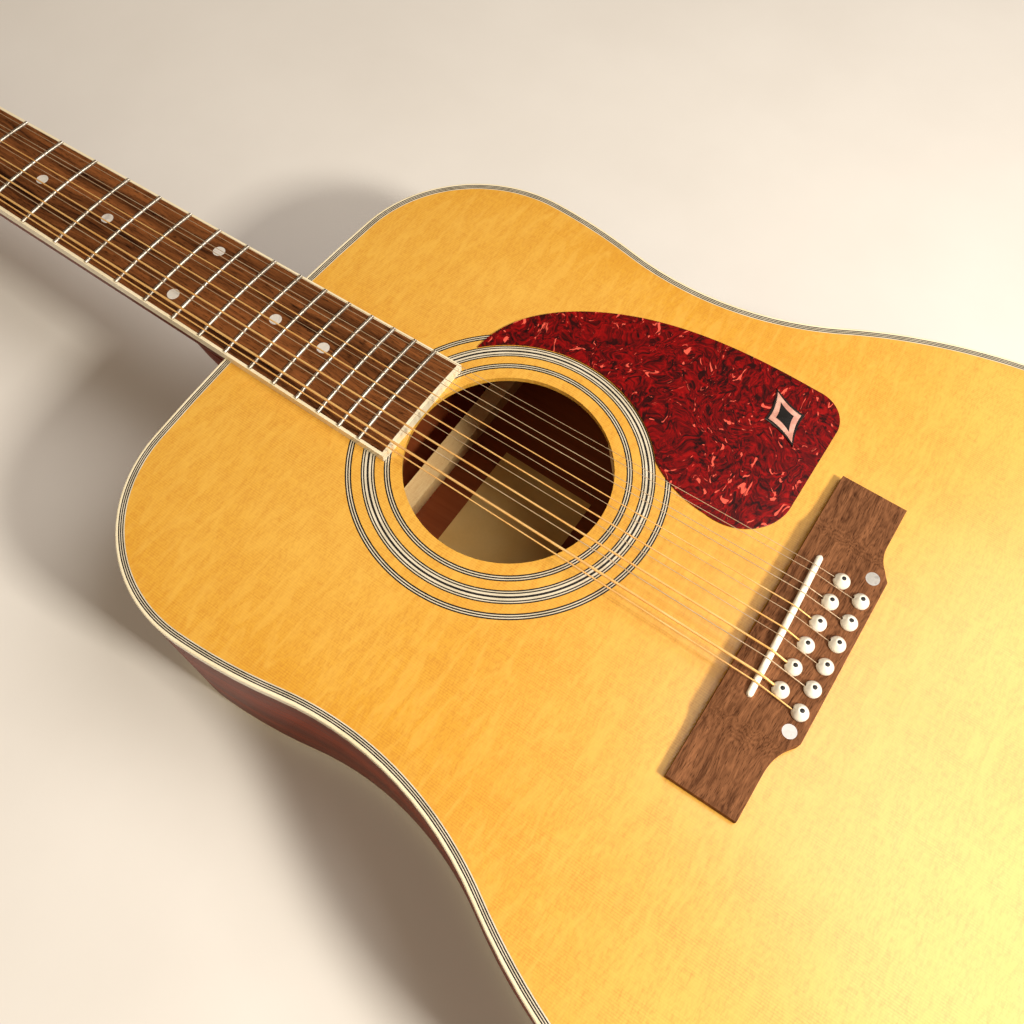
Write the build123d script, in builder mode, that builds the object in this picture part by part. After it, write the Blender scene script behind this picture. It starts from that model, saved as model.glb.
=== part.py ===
from build123d import *
from math import asin, atan2, cos, hypot, radians, sin, sqrt, tan
import os

os.makedirs("parts", exist_ok=True)

# ---------------------------------------------------------------- driving dimensions (mm)
# A 12-string flat-top guitar lying on its back: +Z up, +Y towards the headstock,
# +X the treble side. The origin is on the back, at its middle.
SCALE = 647.7            # nut to the theoretical end of the strings
FRETS = 20
NUT_WIDTH = 48.0
WIDTH_AT_12 = 58.5

SADDLE_Y = -35.0         # where the scale ends, in the guitar's frame
SADDLE_DEPTH = 112.4     # body depth there
TOP_TILT = 2.36          # the body gets deeper towards the tail

NECK_END = 290.2         # outer body edge at the neck, from the end of the scale
# half the outline as tangent arcs, neck to tail: (radius, turn in degrees)
BODY_ARCS = [(1132, 4.15), (76, 87.1), (285, 10.55), (161, -42), (274.5, 29.4), (108.8, 65.8)]
TOP_T = 2.8
BACK_T = 3.0
RIM_T = 2.3
BINDING_W = 1.5
BINDING_H = 6.0
BINDING_ROUND = 0.8
EDGE_W = 4.4             # binding and purfling together
PURFLING_H = 1.2
LINING_W = 6.0
LINING_H = 14.0

HOLE_V = 139.2
HOLE_R = 50.0
ROSETTE_RINGS = [(55.6, 58.6), (62.8, 69.3), (73.7, 76.7)]
ROSETTE_DEPTH = 1.0

BOARD_T = 6.35
BOARD_END = 188.8
BOARD_BINDING = 1.5
CROWN_R = 305.0
FRET_H = 1.1
FRET_W = 2.2

BRIDGE_T = 7.6
WING_T = 3.6
BRIDGE_LENGTH = 166.0
BRIDGE_FRONT = 6.7
WING_BACK = -25.4
BRIDGE_BACK = -32.2
BLOCK_HALF = 47.0
SADDLE_V = -3.85
SADDLE_SLANT = 2.4
SADDLE_TOP = 11.4
SADDLE_LENGTH = 74.5
SADDLE_W = 3.0
SADDLE_BOTTOM = 3.0

BRIDGE_PLATE_T = 2.6
BOLT_SPOTS = [(-40.5, -26.05), (40.5, -26.05)]
BOLT_R = 1.9
PEARL_R = 3.15
PIN_PITCH = 11.745
PIN_ROWS = [(-26.05, -2.0, -0.9), (-15.16, 2.0, 0.0)]  # row, sideways shift, string slot shift
PIN_R = 2.55
PIN_HEAD_R = 3.75
PIN_HEAD_H = 4.0
STRING_SLOT_V = 1.7      # the string stands this far in front of its pin's axis
BALL_V = 4.4             # and its ball end this far, under the bridge plate
BALL_W = -7.4
BALL_R = 1.75
BALL_LENGTH = 3.0

COURSE_PITCH_SADDLE = 11.6
PAIR_GAP_SADDLE = 3.8
COURSE_PITCH_NUT = 7.96
PAIR_GAP_NUT = 2.0
NUT_T = 5.5
NUT_SLOT_H = BOARD_T + FRET_H + 0.45
NUT_TOP = NUT_SLOT_H + 0.6
# string diameters from the bass side, octave string first in each course
STRING_D = [0.69, 1.19, 0.46, 0.99, 0.31, 0.76, 0.26, 0.58, 0.36, 0.36, 0.26, 0.26]
WOUND = [0, 1, 3, 5, 7]

HEAD_PITCH = 14.0
HEAD_RISE = 2.06
HEAD_T = 16.5
VENEER_T = 2.0
HEAD_LENGTH = 197.0
POST_U = 25.5
POST_S = 38.0
POST_PITCH = 25.4
POST_R = 3.0
POST_TOP = 9.0
WRAP_T = 5.0
WRAP_GAP = 0.2
PLATE_T = 1.2
RUN_GAP = 0.05
GEAR_R = 5.2
GEAR_TEETH = 14
WORM_R = 2.6
WORM_OFFSET = GEAR_R + WORM_R + 0.3
SHAFT_T = -HEAD_T - PLATE_T - 4.2
SHAFT_R = 1.5
EAR_GAP = 9.0
EAR_T = 1.2
BUTTON_START = 42.0
BUTTON_LENGTH = 15.0
BUTTON_W = 15.0
BUTTON_T = 7.6

# ---------------------------------------------------------------- frames of reference
tilt = radians(TOP_TILT)
# the soundboard's face: u across, v towards the nut from the end of the scale, w out of the face
top = Plane(origin=(0, SADDLE_Y, SADDLE_DEPTH), x_dir=(1, 0, 0), z_dir=(0, sin(tilt), cos(tilt)))


def on_top(u, v, w=0.0):
    """Plane parallel to the soundboard with its origin at (u, v, w)."""
    return Plane(origin=top.from_local_coords((u, v, w)), x_dir=top.x_dir, z_dir=top.z_dir)


def across(v):
    """Plane square to the strings at v: x is u and y is w, facing the tail."""
    return Plane(origin=top.from_local_coords((0, v, 0)), x_dir=(1, 0, 0), z_dir=-top.y_dir)


def along(u=0.0):
    """Plane along the strings at u: x is v and y is w."""
    return Plane(origin=top.from_local_coords((u, 0, 0)), x_dir=top.y_dir, z_dir=(1, 0, 0))


pitch = radians(TOP_TILT + HEAD_PITCH)
HEAD_V = SCALE + NUT_T + 0.3
head = Plane(
    origin=top.from_local_coords((0, HEAD_V, HEAD_RISE)),
    x_dir=(1, 0, 0),
    z_dir=(0, sin(pitch), cos(pitch)),
)


def on_head(u, s, t=0.0):
    """Plane parallel to the headstock's face with its origin at (u, s, t)."""
    return Plane(origin=head.from_local_coords((u, s, t)), x_dir=head.x_dir, z_dir=head.z_dir)


def fret_v(n):
    return SCALE * 2 ** (-n / 12)


def board_half(v):
    """Half the fingerboard's width at v."""
    return (NUT_WIDTH + (WIDTH_AT_12 - NUT_WIDTH) * (SCALE - v) / (SCALE - fret_v(12))) / 2


# ---------------------------------------------------------------- outlines
def half_outline(inset):
    """Start, middle and end of each arc of half the body outline, moved in by inset."""
    u, v, heading = 0.0, NECK_END - inset, 0.0
    arcs = []
    for radius, turn in BODY_ARCS:
        side = 1 if turn > 0 else -1
        r = radius - side * inset
        cu, cv = u + side * r * sin(heading), v - side * r * cos(heading)
        stops = [(u, v)]
        for part_turn in (turn / 2, turn):
            h = heading - radians(part_turn)
            stops.append((cu - side * r * sin(h), cv + side * r * cos(h)))
        arcs.append(stops)
        heading -= radians(turn)
        u, v = stops[-1]
    # the last arc has its centre on the centreline
    rest = radians(180) + heading
    r = u / sin(rest)
    cv = v + r * cos(rest)
    arcs.append([(u, v), (r * sin(rest / 2), cv - r * cos(rest / 2)), (0, cv - r)])
    return arcs


def body_face(inset, mode=Mode.ADD):
    """The body's plan shape, moved in by inset, on the sketch in hand."""
    with BuildLine() as outline:
        for start, middle, end in half_outline(inset):
            ThreePointArc(start, middle, end)
            ThreePointArc((-start[0], start[1]), (-middle[0], middle[1]), (-end[0], end[1]))
    make_face(outline.edges(), mode=mode)


def board_face(inset, v_low, v_high):
    """The fingerboard's tapered plan shape between two stations."""
    with BuildLine() as outline:
        Polyline(
            (-board_half(v_low) + inset, v_low),
            (board_half(v_low) - inset, v_low),
            (board_half(v_high) - inset, v_high),
            (-board_half(v_high) + inset, v_high),
            close=True,
        )
    make_face(outline.edges())


TAIL_END = half_outline(0)[-1][2][1]
DEEP = 160.0             # more than the body's depth

# ---------------------------------------------------------------- pins, strings and posts
pin_spots = []
for v, shift, slot_shift in PIN_ROWS:
    pin_spots.append([(shift + (i - 2.5) * PIN_PITCH, v, slot_shift) for i in range(6)])


def crown_drop(u):
    return u * u / (2 * CROWN_R)


def string_u(n, course_pitch, pair_gap):
    """Sideways place of string n, 0 to 11 from the bass side."""
    course, second = divmod(n, 2)
    return (course - 2.5) * course_pitch + (second - 0.5) * pair_gap


def string_post(n):
    """Side (-1 bass, 1 treble) and place from the nut of the post that string n winds on."""
    if n < 6:
        return -1, POST_S + POST_PITCH * n
    return 1, POST_S + POST_PITCH * (11 - n)


# ================================================================ body
with BuildPart() as top_binding:
    with BuildSketch(top):
        body_face(0)
        body_face(BINDING_W, Mode.SUBTRACT)
    extrude(amount=-BINDING_H)
    top_edges = top_binding.faces().filter_by(top).sort_by(Axis.Z)[-1].outer_wire().edges()
    fillet(top_edges, BINDING_ROUND)
top_binding.part.label = "top_binding"
export_step(top_binding.part, "parts/top_binding.step")

with BuildPart() as top_purfling:
    with BuildSketch(top):
        body_face(BINDING_W)
        body_face(EDGE_W, Mode.SUBTRACT)
    extrude(amount=-PURFLING_H)
top_purfling.part.label = "top_purfling"
export_step(top_purfling.part, "parts/top_purfling.step")

with BuildPart() as back_binding:
    with BuildSketch(top):
        body_face(0)
        body_face(BINDING_W, Mode.SUBTRACT)
    extrude(amount=-DEEP)
    split(bisect_by=Plane.XY.offset(BINDING_H), keep=Keep.BOTTOM)
    split(bisect_by=Plane.XY, keep=Keep.TOP)
    back_edges = back_binding.faces().filter_by(Plane.XY).sort_by(Axis.Z)[0].outer_wire().edges()
    fillet(back_edges, BINDING_ROUND)
back_binding.part.label = "back_binding"
export_step(back_binding.part, "parts/back_binding.step")

with BuildPart() as rosette:
    with BuildSketch(on_top(0, HOLE_V)):
        for inner, outer in reversed(ROSETTE_RINGS):
            Circle(outer)
            Circle(inner, mode=Mode.SUBTRACT)
    extrude(amount=-ROSETTE_DEPTH)
rosette.part.label = "rosette"
export_step(rosette.part, "parts/rosette.step")

with BuildPart() as soundboard:
    with BuildSketch(top):
        body_face(BINDING_W)
    extrude(amount=-TOP_T)
    add(top_purfling.part, mode=Mode.SUBTRACT)
    add(rosette.part, mode=Mode.SUBTRACT)
    with BuildSketch(on_top(0, HOLE_V)):
        Circle(HOLE_R)
    extrude(amount=-TOP_T, mode=Mode.SUBTRACT)
    with BuildSketch(top):
        for row in pin_spots:
            with Locations(*[(u, v) for u, v, slot in row]):
                Circle(PIN_R)
        with Locations(*BOLT_SPOTS):
            Circle(BOLT_R)
    extrude(amount=-TOP_T, mode=Mode.SUBTRACT)
soundboard.part.label = "soundboard"
export_step(soundboard.part, "parts/soundboard.step")

with BuildPart() as back:
    with BuildSketch(top):
        body_face(BINDING_W)
    extrude(amount=-DEEP)
    split(bisect_by=Plane.XY.offset(BACK_T), keep=Keep.BOTTOM)
    split(bisect_by=Plane.XY, keep=Keep.TOP)
back.part.label = "back"
export_step(back.part, "parts/back.step")

# ---------------------------------------------------------------- neck joint
TENON_T = 14.0
TENON_BOTTOM = -80.0
with BuildPart() as tenon:
    with BuildSketch(across(NECK_END - TENON_T)):
        with BuildLine():
            Polyline(
                (-20, -BINDING_H),
                (20, -BINDING_H),
                (14, TENON_BOTTOM),
                (-14, TENON_BOTTOM),
                close=True,
            )
        make_face()
    extrude(amount=-TENON_T)

BLOCK_LENGTH = 30.0
with BuildPart() as neck_block:
    with BuildSketch(top):
        body_face(RIM_T)
        with Locations((0, NECK_END)):
            Rectangle(92, 2 * BLOCK_LENGTH, mode=Mode.INTERSECT)
    extrude(amount=-DEEP)
    split(bisect_by=top.offset(-TOP_T), keep=Keep.BOTTOM)
    split(bisect_by=Plane.XY.offset(BACK_T), keep=Keep.TOP)
    add(tenon.part, mode=Mode.SUBTRACT)
neck_block.part.label = "neck_block"
export_step(neck_block.part, "parts/neck_block.step")

STRAP_R = 3.5
STRAP_W = -60.0
strap_plane = Plane(
    origin=top.from_local_coords((0, TAIL_END, STRAP_W)), x_dir=(1, 0, 0), z_dir=-top.y_dir
)
with BuildPart() as tail_block:
    with BuildSketch(top):
        body_face(RIM_T)
        with Locations((0, TAIL_END)):
            Rectangle(100, 2 * BLOCK_LENGTH, mode=Mode.INTERSECT)
    extrude(amount=-DEEP)
    split(bisect_by=top.offset(-TOP_T), keep=Keep.BOTTOM)
    split(bisect_by=Plane.XY.offset(BACK_T), keep=Keep.TOP)
    with BuildSketch(strap_plane):
        Circle(STRAP_R)
    extrude(amount=-BLOCK_LENGTH, mode=Mode.SUBTRACT)
tail_block.part.label = "tail_block"
export_step(tail_block.part, "parts/tail_block.step")

with BuildPart() as rim_ring:
    with BuildSketch(top):
        body_face(0)
        body_face(RIM_T, Mode.SUBTRACT)
    extrude(amount=-DEEP)
    split(bisect_by=top.offset(-TOP_T), keep=Keep.BOTTOM)
    split(bisect_by=Plane.XY.offset(BACK_T), keep=Keep.TOP)
    add(top_binding.part, mode=Mode.SUBTRACT)
    add(back_binding.part, mode=Mode.SUBTRACT)
    add(tenon.part, mode=Mode.SUBTRACT)
    with BuildSketch(strap_plane):
        Circle(STRAP_R)
    extrude(amount=-BLOCK_LENGTH, mode=Mode.SUBTRACT)

with BuildPart() as rim_bass:
    add(rim_ring.part)
    split(bisect_by=Plane.YZ, keep=Keep.BOTTOM)
rim_bass.part.label = "rim_bass"
export_step(rim_bass.part, "parts/rim_bass.step")

with BuildPart() as rim_treble:
    add(rim_ring.part)
    split(bisect_by=Plane.YZ, keep=Keep.TOP)
rim_treble.part.label = "rim_treble"
export_step(rim_treble.part, "parts/rim_treble.step")

with BuildPart() as lining_ring:
    with BuildSketch(top):
        body_face(RIM_T)
        body_face(RIM_T + LINING_W, Mode.SUBTRACT)
    extrude(amount=-DEEP)
    add(neck_block.part, mode=Mode.SUBTRACT)
    add(tenon.part, mode=Mode.SUBTRACT)
    add(tail_block.part, mode=Mode.SUBTRACT)

with BuildPart() as top_linings:
    add(lining_ring.part)
    split(bisect_by=top.offset(-TOP_T), keep=Keep.BOTTOM)
    split(bisect_by=top.offset(-TOP_T - LINING_H), keep=Keep.TOP)

with BuildPart() as back_linings:
    add(lining_ring.part)
    split(bisect_by=Plane.XY.offset(BACK_T), keep=Keep.TOP)
    split(bisect_by=Plane.XY.offset(BACK_T + LINING_H), keep=Keep.BOTTOM)

with BuildPart() as linings:
    add(top_linings.part)
    add(back_linings.part)
linings.part.label = "linings"
export_step(linings.part, "parts/linings.step")

# ---------------------------------------------------------------- braces
BRACE_W = 8.0
BRACE_H = 13.0
X_CROSS_V = 68.0
X_ANGLE = 51.0
UPPER_BRACE_V = 212.0
TONE_BAR_V = [-75.0, -125.0]
with BuildPart() as top_braces:
    with BuildSketch(top.offset(-TOP_T)):
        body_face(RIM_T + LINING_W + 1)
    extrude(amount=-BRACE_H)
    with BuildSketch(top.offset(-TOP_T)):
        for angle in (X_ANGLE, -X_ANGLE):
            with Locations(Location((0, X_CROSS_V), angle)):
                Rectangle(BRACE_W, 620)
        with Locations((0, UPPER_BRACE_V)):
            Rectangle(400, 12)
        for v in TONE_BAR_V:
            with Locations(Location((v * 0.15, v), 62)):
                Rectangle(BRACE_W, 190)
    extrude(amount=-BRACE_H, mode=Mode.INTERSECT)
top_braces.part.label = "top_braces"
export_step(top_braces.part, "parts/top_braces.step")

PLATE_V = -13.0
with BuildPart() as bridge_plate:
    with BuildSketch(top.offset(-TOP_T)):
        with Locations((0, PLATE_V)):
            RectangleRounded(128, 46, 6)
        for row in pin_spots:
            with Locations(*[(u, v) for u, v, slot in row]):
                Circle(PIN_R, mode=Mode.SUBTRACT)
        with Locations(*BOLT_SPOTS):
            Circle(BOLT_R, mode=Mode.SUBTRACT)
    extrude(amount=-BRIDGE_PLATE_T)
bridge_plate.part.label = "bridge_plate"
export_step(bridge_plate.part, "parts/bridge_plate.step")

BACK_BRACE_V = [-135.0, -50.0, 60.0, 197.0]
BACK_BRACE_W = 11.0
BACK_BRACE_H = 14.0
STRIP_W = 20.0
STRIP_T = 3.0
STRIP_GAP = 1.0
with BuildPart() as back_braces:
    with BuildSketch(Plane.XY.offset(BACK_T)):
        for v in BACK_BRACE_V:
            with Locations((0, SADDLE_Y + v)):
                Rectangle(420, BACK_BRACE_W)
    extrude(amount=BACK_BRACE_H)
    # flat strips cover the back's centre joint between the lower braces
    with BuildSketch(Plane.XY.offset(BACK_T)):
        for low, high in zip(BACK_BRACE_V[:-1], BACK_BRACE_V[1:-1]):
            with Locations((0, SADDLE_Y + (low + high) / 2)):
                Rectangle(STRIP_W, high - low - BACK_BRACE_W - 2 * STRIP_GAP)
    extrude(amount=STRIP_T)
    with BuildSketch(top):
        body_face(RIM_T + LINING_W + 1)
    extrude(amount=-DEEP, mode=Mode.INTERSECT)
back_braces.part.label = "back_braces"
export_step(back_braces.part, "parts/back_braces.step")

with BuildPart() as label:
    with BuildSketch(Plane.XY.offset(BACK_T)):
        with Locations((4, SADDLE_Y + 142)):
            Rectangle(102, 60)
    extrude(amount=0.3)
label.part.label = "label"
export_step(label.part, "parts/label.step")

# ---------------------------------------------------------------- pickguard
GUARD_T = 0.8
GUARD_RING = 69.6
tip = (47.2, HOLE_V + sqrt(GUARD_RING**2 - 47.2**2))
foot = (41.5, HOLE_V - sqrt(GUARD_RING**2 - 41.5**2))
with BuildPart() as pickguard:
    with BuildSketch(top):
        with BuildLine():
            Spline(tip, (71, 183.6), (97, 158), (113.5, 122.5), (121.6, 70), (121.4, 37))
            ThreePointArc((121.4, 37), (116.6, 24.2), (104, 19.4))
            Line((104, 19.4), (54, 19.4))
            ThreePointArc((54, 19.4), (37, 28), (30.4, 51))
            Spline((30.4, 51), (34.2, 70), foot)
            ThreePointArc(foot, (GUARD_RING, HOLE_V), tip)
        make_face()
    extrude(amount=GUARD_T)
pickguard.part.label = "pickguard"
export_step(pickguard.part, "parts/pickguard.step")

ORNAMENT_LENGTH = 34.0
ORNAMENT_WIDTH = 20.0
ornament_plane = Plane(
    origin=top.from_local_coords((98, 44, GUARD_T)),
    x_dir=(cos(radians(40)), sin(radians(40)) * cos(tilt), -sin(radians(40)) * sin(tilt)),
    z_dir=top.z_dir,
)
with BuildPart() as pickguard_ornament:
    with BuildSketch(ornament_plane):
        with BuildLine():
            half_l, half_w = ORNAMENT_LENGTH / 2, ORNAMENT_WIDTH / 2
            ThreePointArc((-half_l, 0), (-half_l * 0.42, half_w * 0.42), (0, half_w))
            ThreePointArc((0, half_w), (half_l * 0.42, half_w * 0.42), (half_l, 0))
            ThreePointArc((half_l, 0), (half_l * 0.42, -half_w * 0.42), (0, -half_w))
            ThreePointArc((0, -half_w), (-half_l * 0.42, -half_w * 0.42), (-half_l, 0))
        make_face()
    extrude(amount=0.8)
pickguard_ornament.part.label = "pickguard_ornament"
export_step(pickguard_ornament.part, "parts/pickguard_ornament.step")

# ================================================================ bridge
slant = radians(SADDLE_SLANT)
saddle_plane = Plane(
    origin=top.from_local_coords((0, SADDLE_V, SADDLE_BOTTOM)),
    x_dir=top.x_dir * cos(slant) + top.y_dir * sin(slant),
    z_dir=top.z_dir,
)
with BuildPart() as saddle:
    with BuildSketch(saddle_plane):
        SlotOverall(SADDLE_LENGTH, SADDLE_W)
    extrude(amount=SADDLE_TOP)
    with BuildSketch(across(20)):
        with BuildLine():
            edge_w = SADDLE_TOP - crown_drop(45)
            ThreePointArc((-45, edge_w), (0, SADDLE_TOP), (45, edge_w))
            Polyline((45, edge_w), (45, 0), (-45, 0), (-45, edge_w))
        make_face()
    extrude(amount=50, mode=Mode.INTERSECT)
    chamfer(saddle.faces().sort_by(Axis.Z)[-1].edges(), 0.7)
saddle.part.label = "saddle"
export_step(saddle.part, "parts/saddle.step")

half_bridge = BRIDGE_LENGTH / 2
back_corner = 42.5
# the back edge sweeps in from the block to the wings along an arc
rise = WING_BACK - BRIDGE_BACK
sweep_in = 18.0
back_r = (sweep_in**2 + rise**2) / (2 * rise)
mid_u = sweep_in * 0.5
mid_rise = sqrt(back_r**2 - mid_u**2) - (back_r - rise)
with BuildPart() as bridge_pearl_dots:
    with BuildSketch(top.offset(BRIDGE_T - 1.5)):
        with Locations(*BOLT_SPOTS):
            Circle(PEARL_R)
    extrude(amount=1.5)
bridge_pearl_dots.part.label = "bridge_pearl_dots"
export_step(bridge_pearl_dots.part, "parts/bridge_pearl_dots.step")

with BuildPart() as bridge_bolts:
    with BuildSketch(top.offset(BRIDGE_T - 1.5)):
        with Locations(*BOLT_SPOTS):
            Circle(BOLT_R)
    extrude(amount=-18)
    with BuildSketch(top.offset(-TOP_T - BRIDGE_PLATE_T)):
        with Locations(*BOLT_SPOTS):
            RegularPolygon(4, 6)
    extrude(amount=-3)

with BuildPart() as bridge:
    with BuildSketch(top):
        with BuildLine():
            for side in (1, -1):
                Line((0, BRIDGE_FRONT), (side * half_bridge, BRIDGE_FRONT))
                Line((side * half_bridge, BRIDGE_FRONT), (side * half_bridge, WING_BACK))
                Line((side * half_bridge, WING_BACK), (side * (back_corner + sweep_in), WING_BACK))
                ThreePointArc(
                    (side * (back_corner + sweep_in), WING_BACK),
                    (side * (back_corner + sweep_in - mid_u), BRIDGE_BACK + mid_rise),
                    (side * back_corner, BRIDGE_BACK),
                )
                Line((side * back_corner, BRIDGE_BACK), (0, BRIDGE_BACK))
        make_face()
    extrude(amount=BRIDGE_T)
    with BuildSketch(across(40)):
        for side in (1, -1):
            with BuildLine():
                Polyline(
                    (side * (BLOCK_HALF + 15), WING_T + 0.5),
                    (side * (half_bridge + 5), WING_T),
                    (side * (half_bridge + 5), BRIDGE_T + 5),
                    (side * BLOCK_HALF, BRIDGE_T + 5),
                    (side * BLOCK_HALF, BRIDGE_T),
                )
                ThreePointArc(
                    (side * BLOCK_HALF, BRIDGE_T),
                    (side * (BLOCK_HALF + 7), WING_T + 1.5),
                    (side * (BLOCK_HALF + 15), WING_T + 0.5),
                )
            make_face()
    extrude(amount=100, mode=Mode.SUBTRACT)
    with BuildSketch(along(-100)):
        with BuildLine():
            Polyline(
                (BRIDGE_FRONT - 4, BRIDGE_T + 1),
                (BRIDGE_FRONT - 4, BRIDGE_T),
                (BRIDGE_FRONT, BRIDGE_T - 1.6),
                (BRIDGE_FRONT + 1, BRIDGE_T - 1.6),
                (BRIDGE_FRONT + 1, BRIDGE_T + 1),
                close=True,
            )
        make_face()
    extrude(amount=200, mode=Mode.SUBTRACT)
    with BuildSketch(saddle_plane):
        SlotOverall(SADDLE_LENGTH, SADDLE_W)
    extrude(amount=10, mode=Mode.SUBTRACT)
    for row in pin_spots:
        with BuildSketch(top):
            with Locations(*[(u, v) for u, v, slot in row]):
                Circle(PIN_R)
        extrude(amount=BRIDGE_T, mode=Mode.SUBTRACT)
        with BuildSketch(top.offset(BRIDGE_T - 1.0)):
            with Locations(*[(u, v) for u, v, slot in row]):
                Circle(PIN_R)
        extrude(amount=1.0, taper=-38, mode=Mode.SUBTRACT)
    add(bridge_pearl_dots.part, mode=Mode.SUBTRACT)
    add(bridge_bolts.part, mode=Mode.SUBTRACT)
bridge.part.label = "bridge"
export_step(bridge.part, "parts/bridge.step")

PIN_BOTTOM = BRIDGE_T - 22.0
with BuildPart() as bridge_pins:
    for row in pin_spots:
        for u, v, slot_shift in row:
            pin_plane = Plane(
                origin=top.from_local_coords((u, v, BRIDGE_T)), x_dir=(1, 0, 0), z_dir=-top.y_dir
            )
            with BuildSketch(pin_plane):
                with BuildLine():
                    Polyline(
                        (0, PIN_BOTTOM - BRIDGE_T),
                        (PIN_R, PIN_BOTTOM - BRIDGE_T),
                        (PIN_R, 0),
                        (PIN_R + 0.3, 0),
                    )
                    ThreePointArc((PIN_R + 0.3, 0), (PIN_HEAD_R, 1.5), (PIN_HEAD_R * 0.8, 2.9))
                    ThreePointArc((PIN_HEAD_R * 0.8, 2.9), (PIN_HEAD_R * 0.5, 3.7), (0.8, PIN_HEAD_H))
                    Line((0.8, PIN_HEAD_H), (0, PIN_HEAD_H))
                    Line((0, PIN_HEAD_H), (0, PIN_BOTTOM - BRIDGE_T))
                make_face()
            revolve(axis=Axis(top.from_local_coords((u, v, 0)), top.z_dir))
    for row in pin_spots:
        with BuildSketch(top.offset(PIN_BOTTOM - 1)):
            with Locations(*[(u + slot_shift, v + 3.4) for u, v, slot_shift in row]):
                Rectangle(1.6, 5.4)
        extrude(amount=BRIDGE_T - PIN_BOTTOM + 3.3, mode=Mode.SUBTRACT)
bridge_pins.part.label = "bridge_pins"
export_step(bridge_pins.part, "parts/bridge_pins.step")

# ================================================================ fingerboard
with BuildPart() as board_blank:
    with BuildSketch(top):
        board_face(0, BOARD_END, SCALE)
    extrude(amount=BOARD_T)
    with BuildSketch(across(SCALE)):
        with BuildLine():
            edge_w = BOARD_T - crown_drop(40)
            ThreePointArc((-40, edge_w), (0, BOARD_T), (40, edge_w))
            Polyline((40, edge_w), (40, -1), (-40, -1), (-40, edge_w))
        make_face()
    extrude(amount=SCALE - BOARD_END, mode=Mode.INTERSECT)

crown_axis = Axis(top.from_local_coords((0, 0, BOARD_T - CROWN_R)), top.y_dir)
TANG_W = 0.6
TANG_H = 2.0
with BuildPart() as frets:
    with BuildSketch(along()):
        for n in range(1, FRETS + 1):
            v = fret_v(n)
            with BuildLine():
                ThreePointArc((v - FRET_W / 2, BOARD_T), (v, BOARD_T + FRET_H), (v + FRET_W / 2, BOARD_T))
                Polyline(
                    (v + FRET_W / 2, BOARD_T),
                    (v + TANG_W / 2, BOARD_T),
                    (v + TANG_W / 2, BOARD_T - TANG_H),
                    (v - TANG_W / 2, BOARD_T - TANG_H),
                    (v - TANG_W / 2, BOARD_T),
                    (v - FRET_W / 2, BOARD_T),
                )
            make_face()
    revolve(axis=crown_axis)
    with BuildSketch(top.offset(BOARD_T - 5)):
        board_face(0.6, BOARD_END, SCALE)
    extrude(amount=10, mode=Mode.INTERSECT)
frets.part.label = "frets"
export_step(frets.part, "parts/frets.step")

DOT_R = 3.2
DOT_T = 2.0
SIDE_DOT_R = 1.0
OCTAVE_DOT_U = 17.1
dot_spots = []
for n in (3, 5, 7, 9, 12, 15, 17):
    between = (fret_v(n) + fret_v(n - 1)) / 2
    for u in (-OCTAVE_DOT_U, OCTAVE_DOT_U) if n == 12 else (0,):
        dot_spots.append((u, between))
with BuildPart() as position_markers:
    with BuildSketch(top.offset(BOARD_T - DOT_T)):
        with Locations(*dot_spots):
            Circle(DOT_R)
    extrude(amount=DOT_T + 1)
    add(board_blank.part, mode=Mode.INTERSECT)
    for u, v in dot_spots:
        # side dots sit in the bass edge's binding; the octave has two of them
        side_v = v + (3.0 if u > 0 else -3.0 if u < 0 else 0.0)
        edge_spot = top.from_local_coords((-board_half(side_v) + 0.02, side_v, 3.4))
        edge = Plane(origin=edge_spot, z_dir=(1, 0, 0))
        with BuildSketch(edge):
            Circle(SIDE_DOT_R)
        extrude(amount=1.1)
position_markers.part.label = "position_markers"
export_step(position_markers.part, "parts/position_markers.step")

with BuildPart() as fingerboard:
    with BuildSketch(top):
        board_face(BOARD_BINDING, BOARD_END + BOARD_BINDING, SCALE)
    extrude(amount=BOARD_T + 1)
    add(board_blank.part, mode=Mode.INTERSECT)
    add(frets.part, mode=Mode.SUBTRACT)
    add(position_markers.part, mode=Mode.SUBTRACT)
fingerboard.part.label = "fingerboard"
export_step(fingerboard.part, "parts/fingerboard.step")

with BuildPart() as fingerboard_binding:
    add(board_blank.part)
    with BuildSketch(top):
        board_face(BOARD_BINDING, BOARD_END + BOARD_BINDING, SCALE)
    extrude(amount=BOARD_T + 1, mode=Mode.SUBTRACT)
    add(frets.part, mode=Mode.SUBTRACT)
    add(position_markers.part, mode=Mode.SUBTRACT)
fingerboard_binding.part.label = "fingerboard_binding"
export_step(fingerboard_binding.part, "parts/fingerboard_binding.step")

# ================================================================ strings
def nut_point(n):
    """Centre of string n over the nut: u and w."""
    u = string_u(n, COURSE_PITCH_NUT, PAIR_GAP_NUT)
    return u, NUT_SLOT_H - crown_drop(u) + STRING_D[n] / 2


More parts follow.
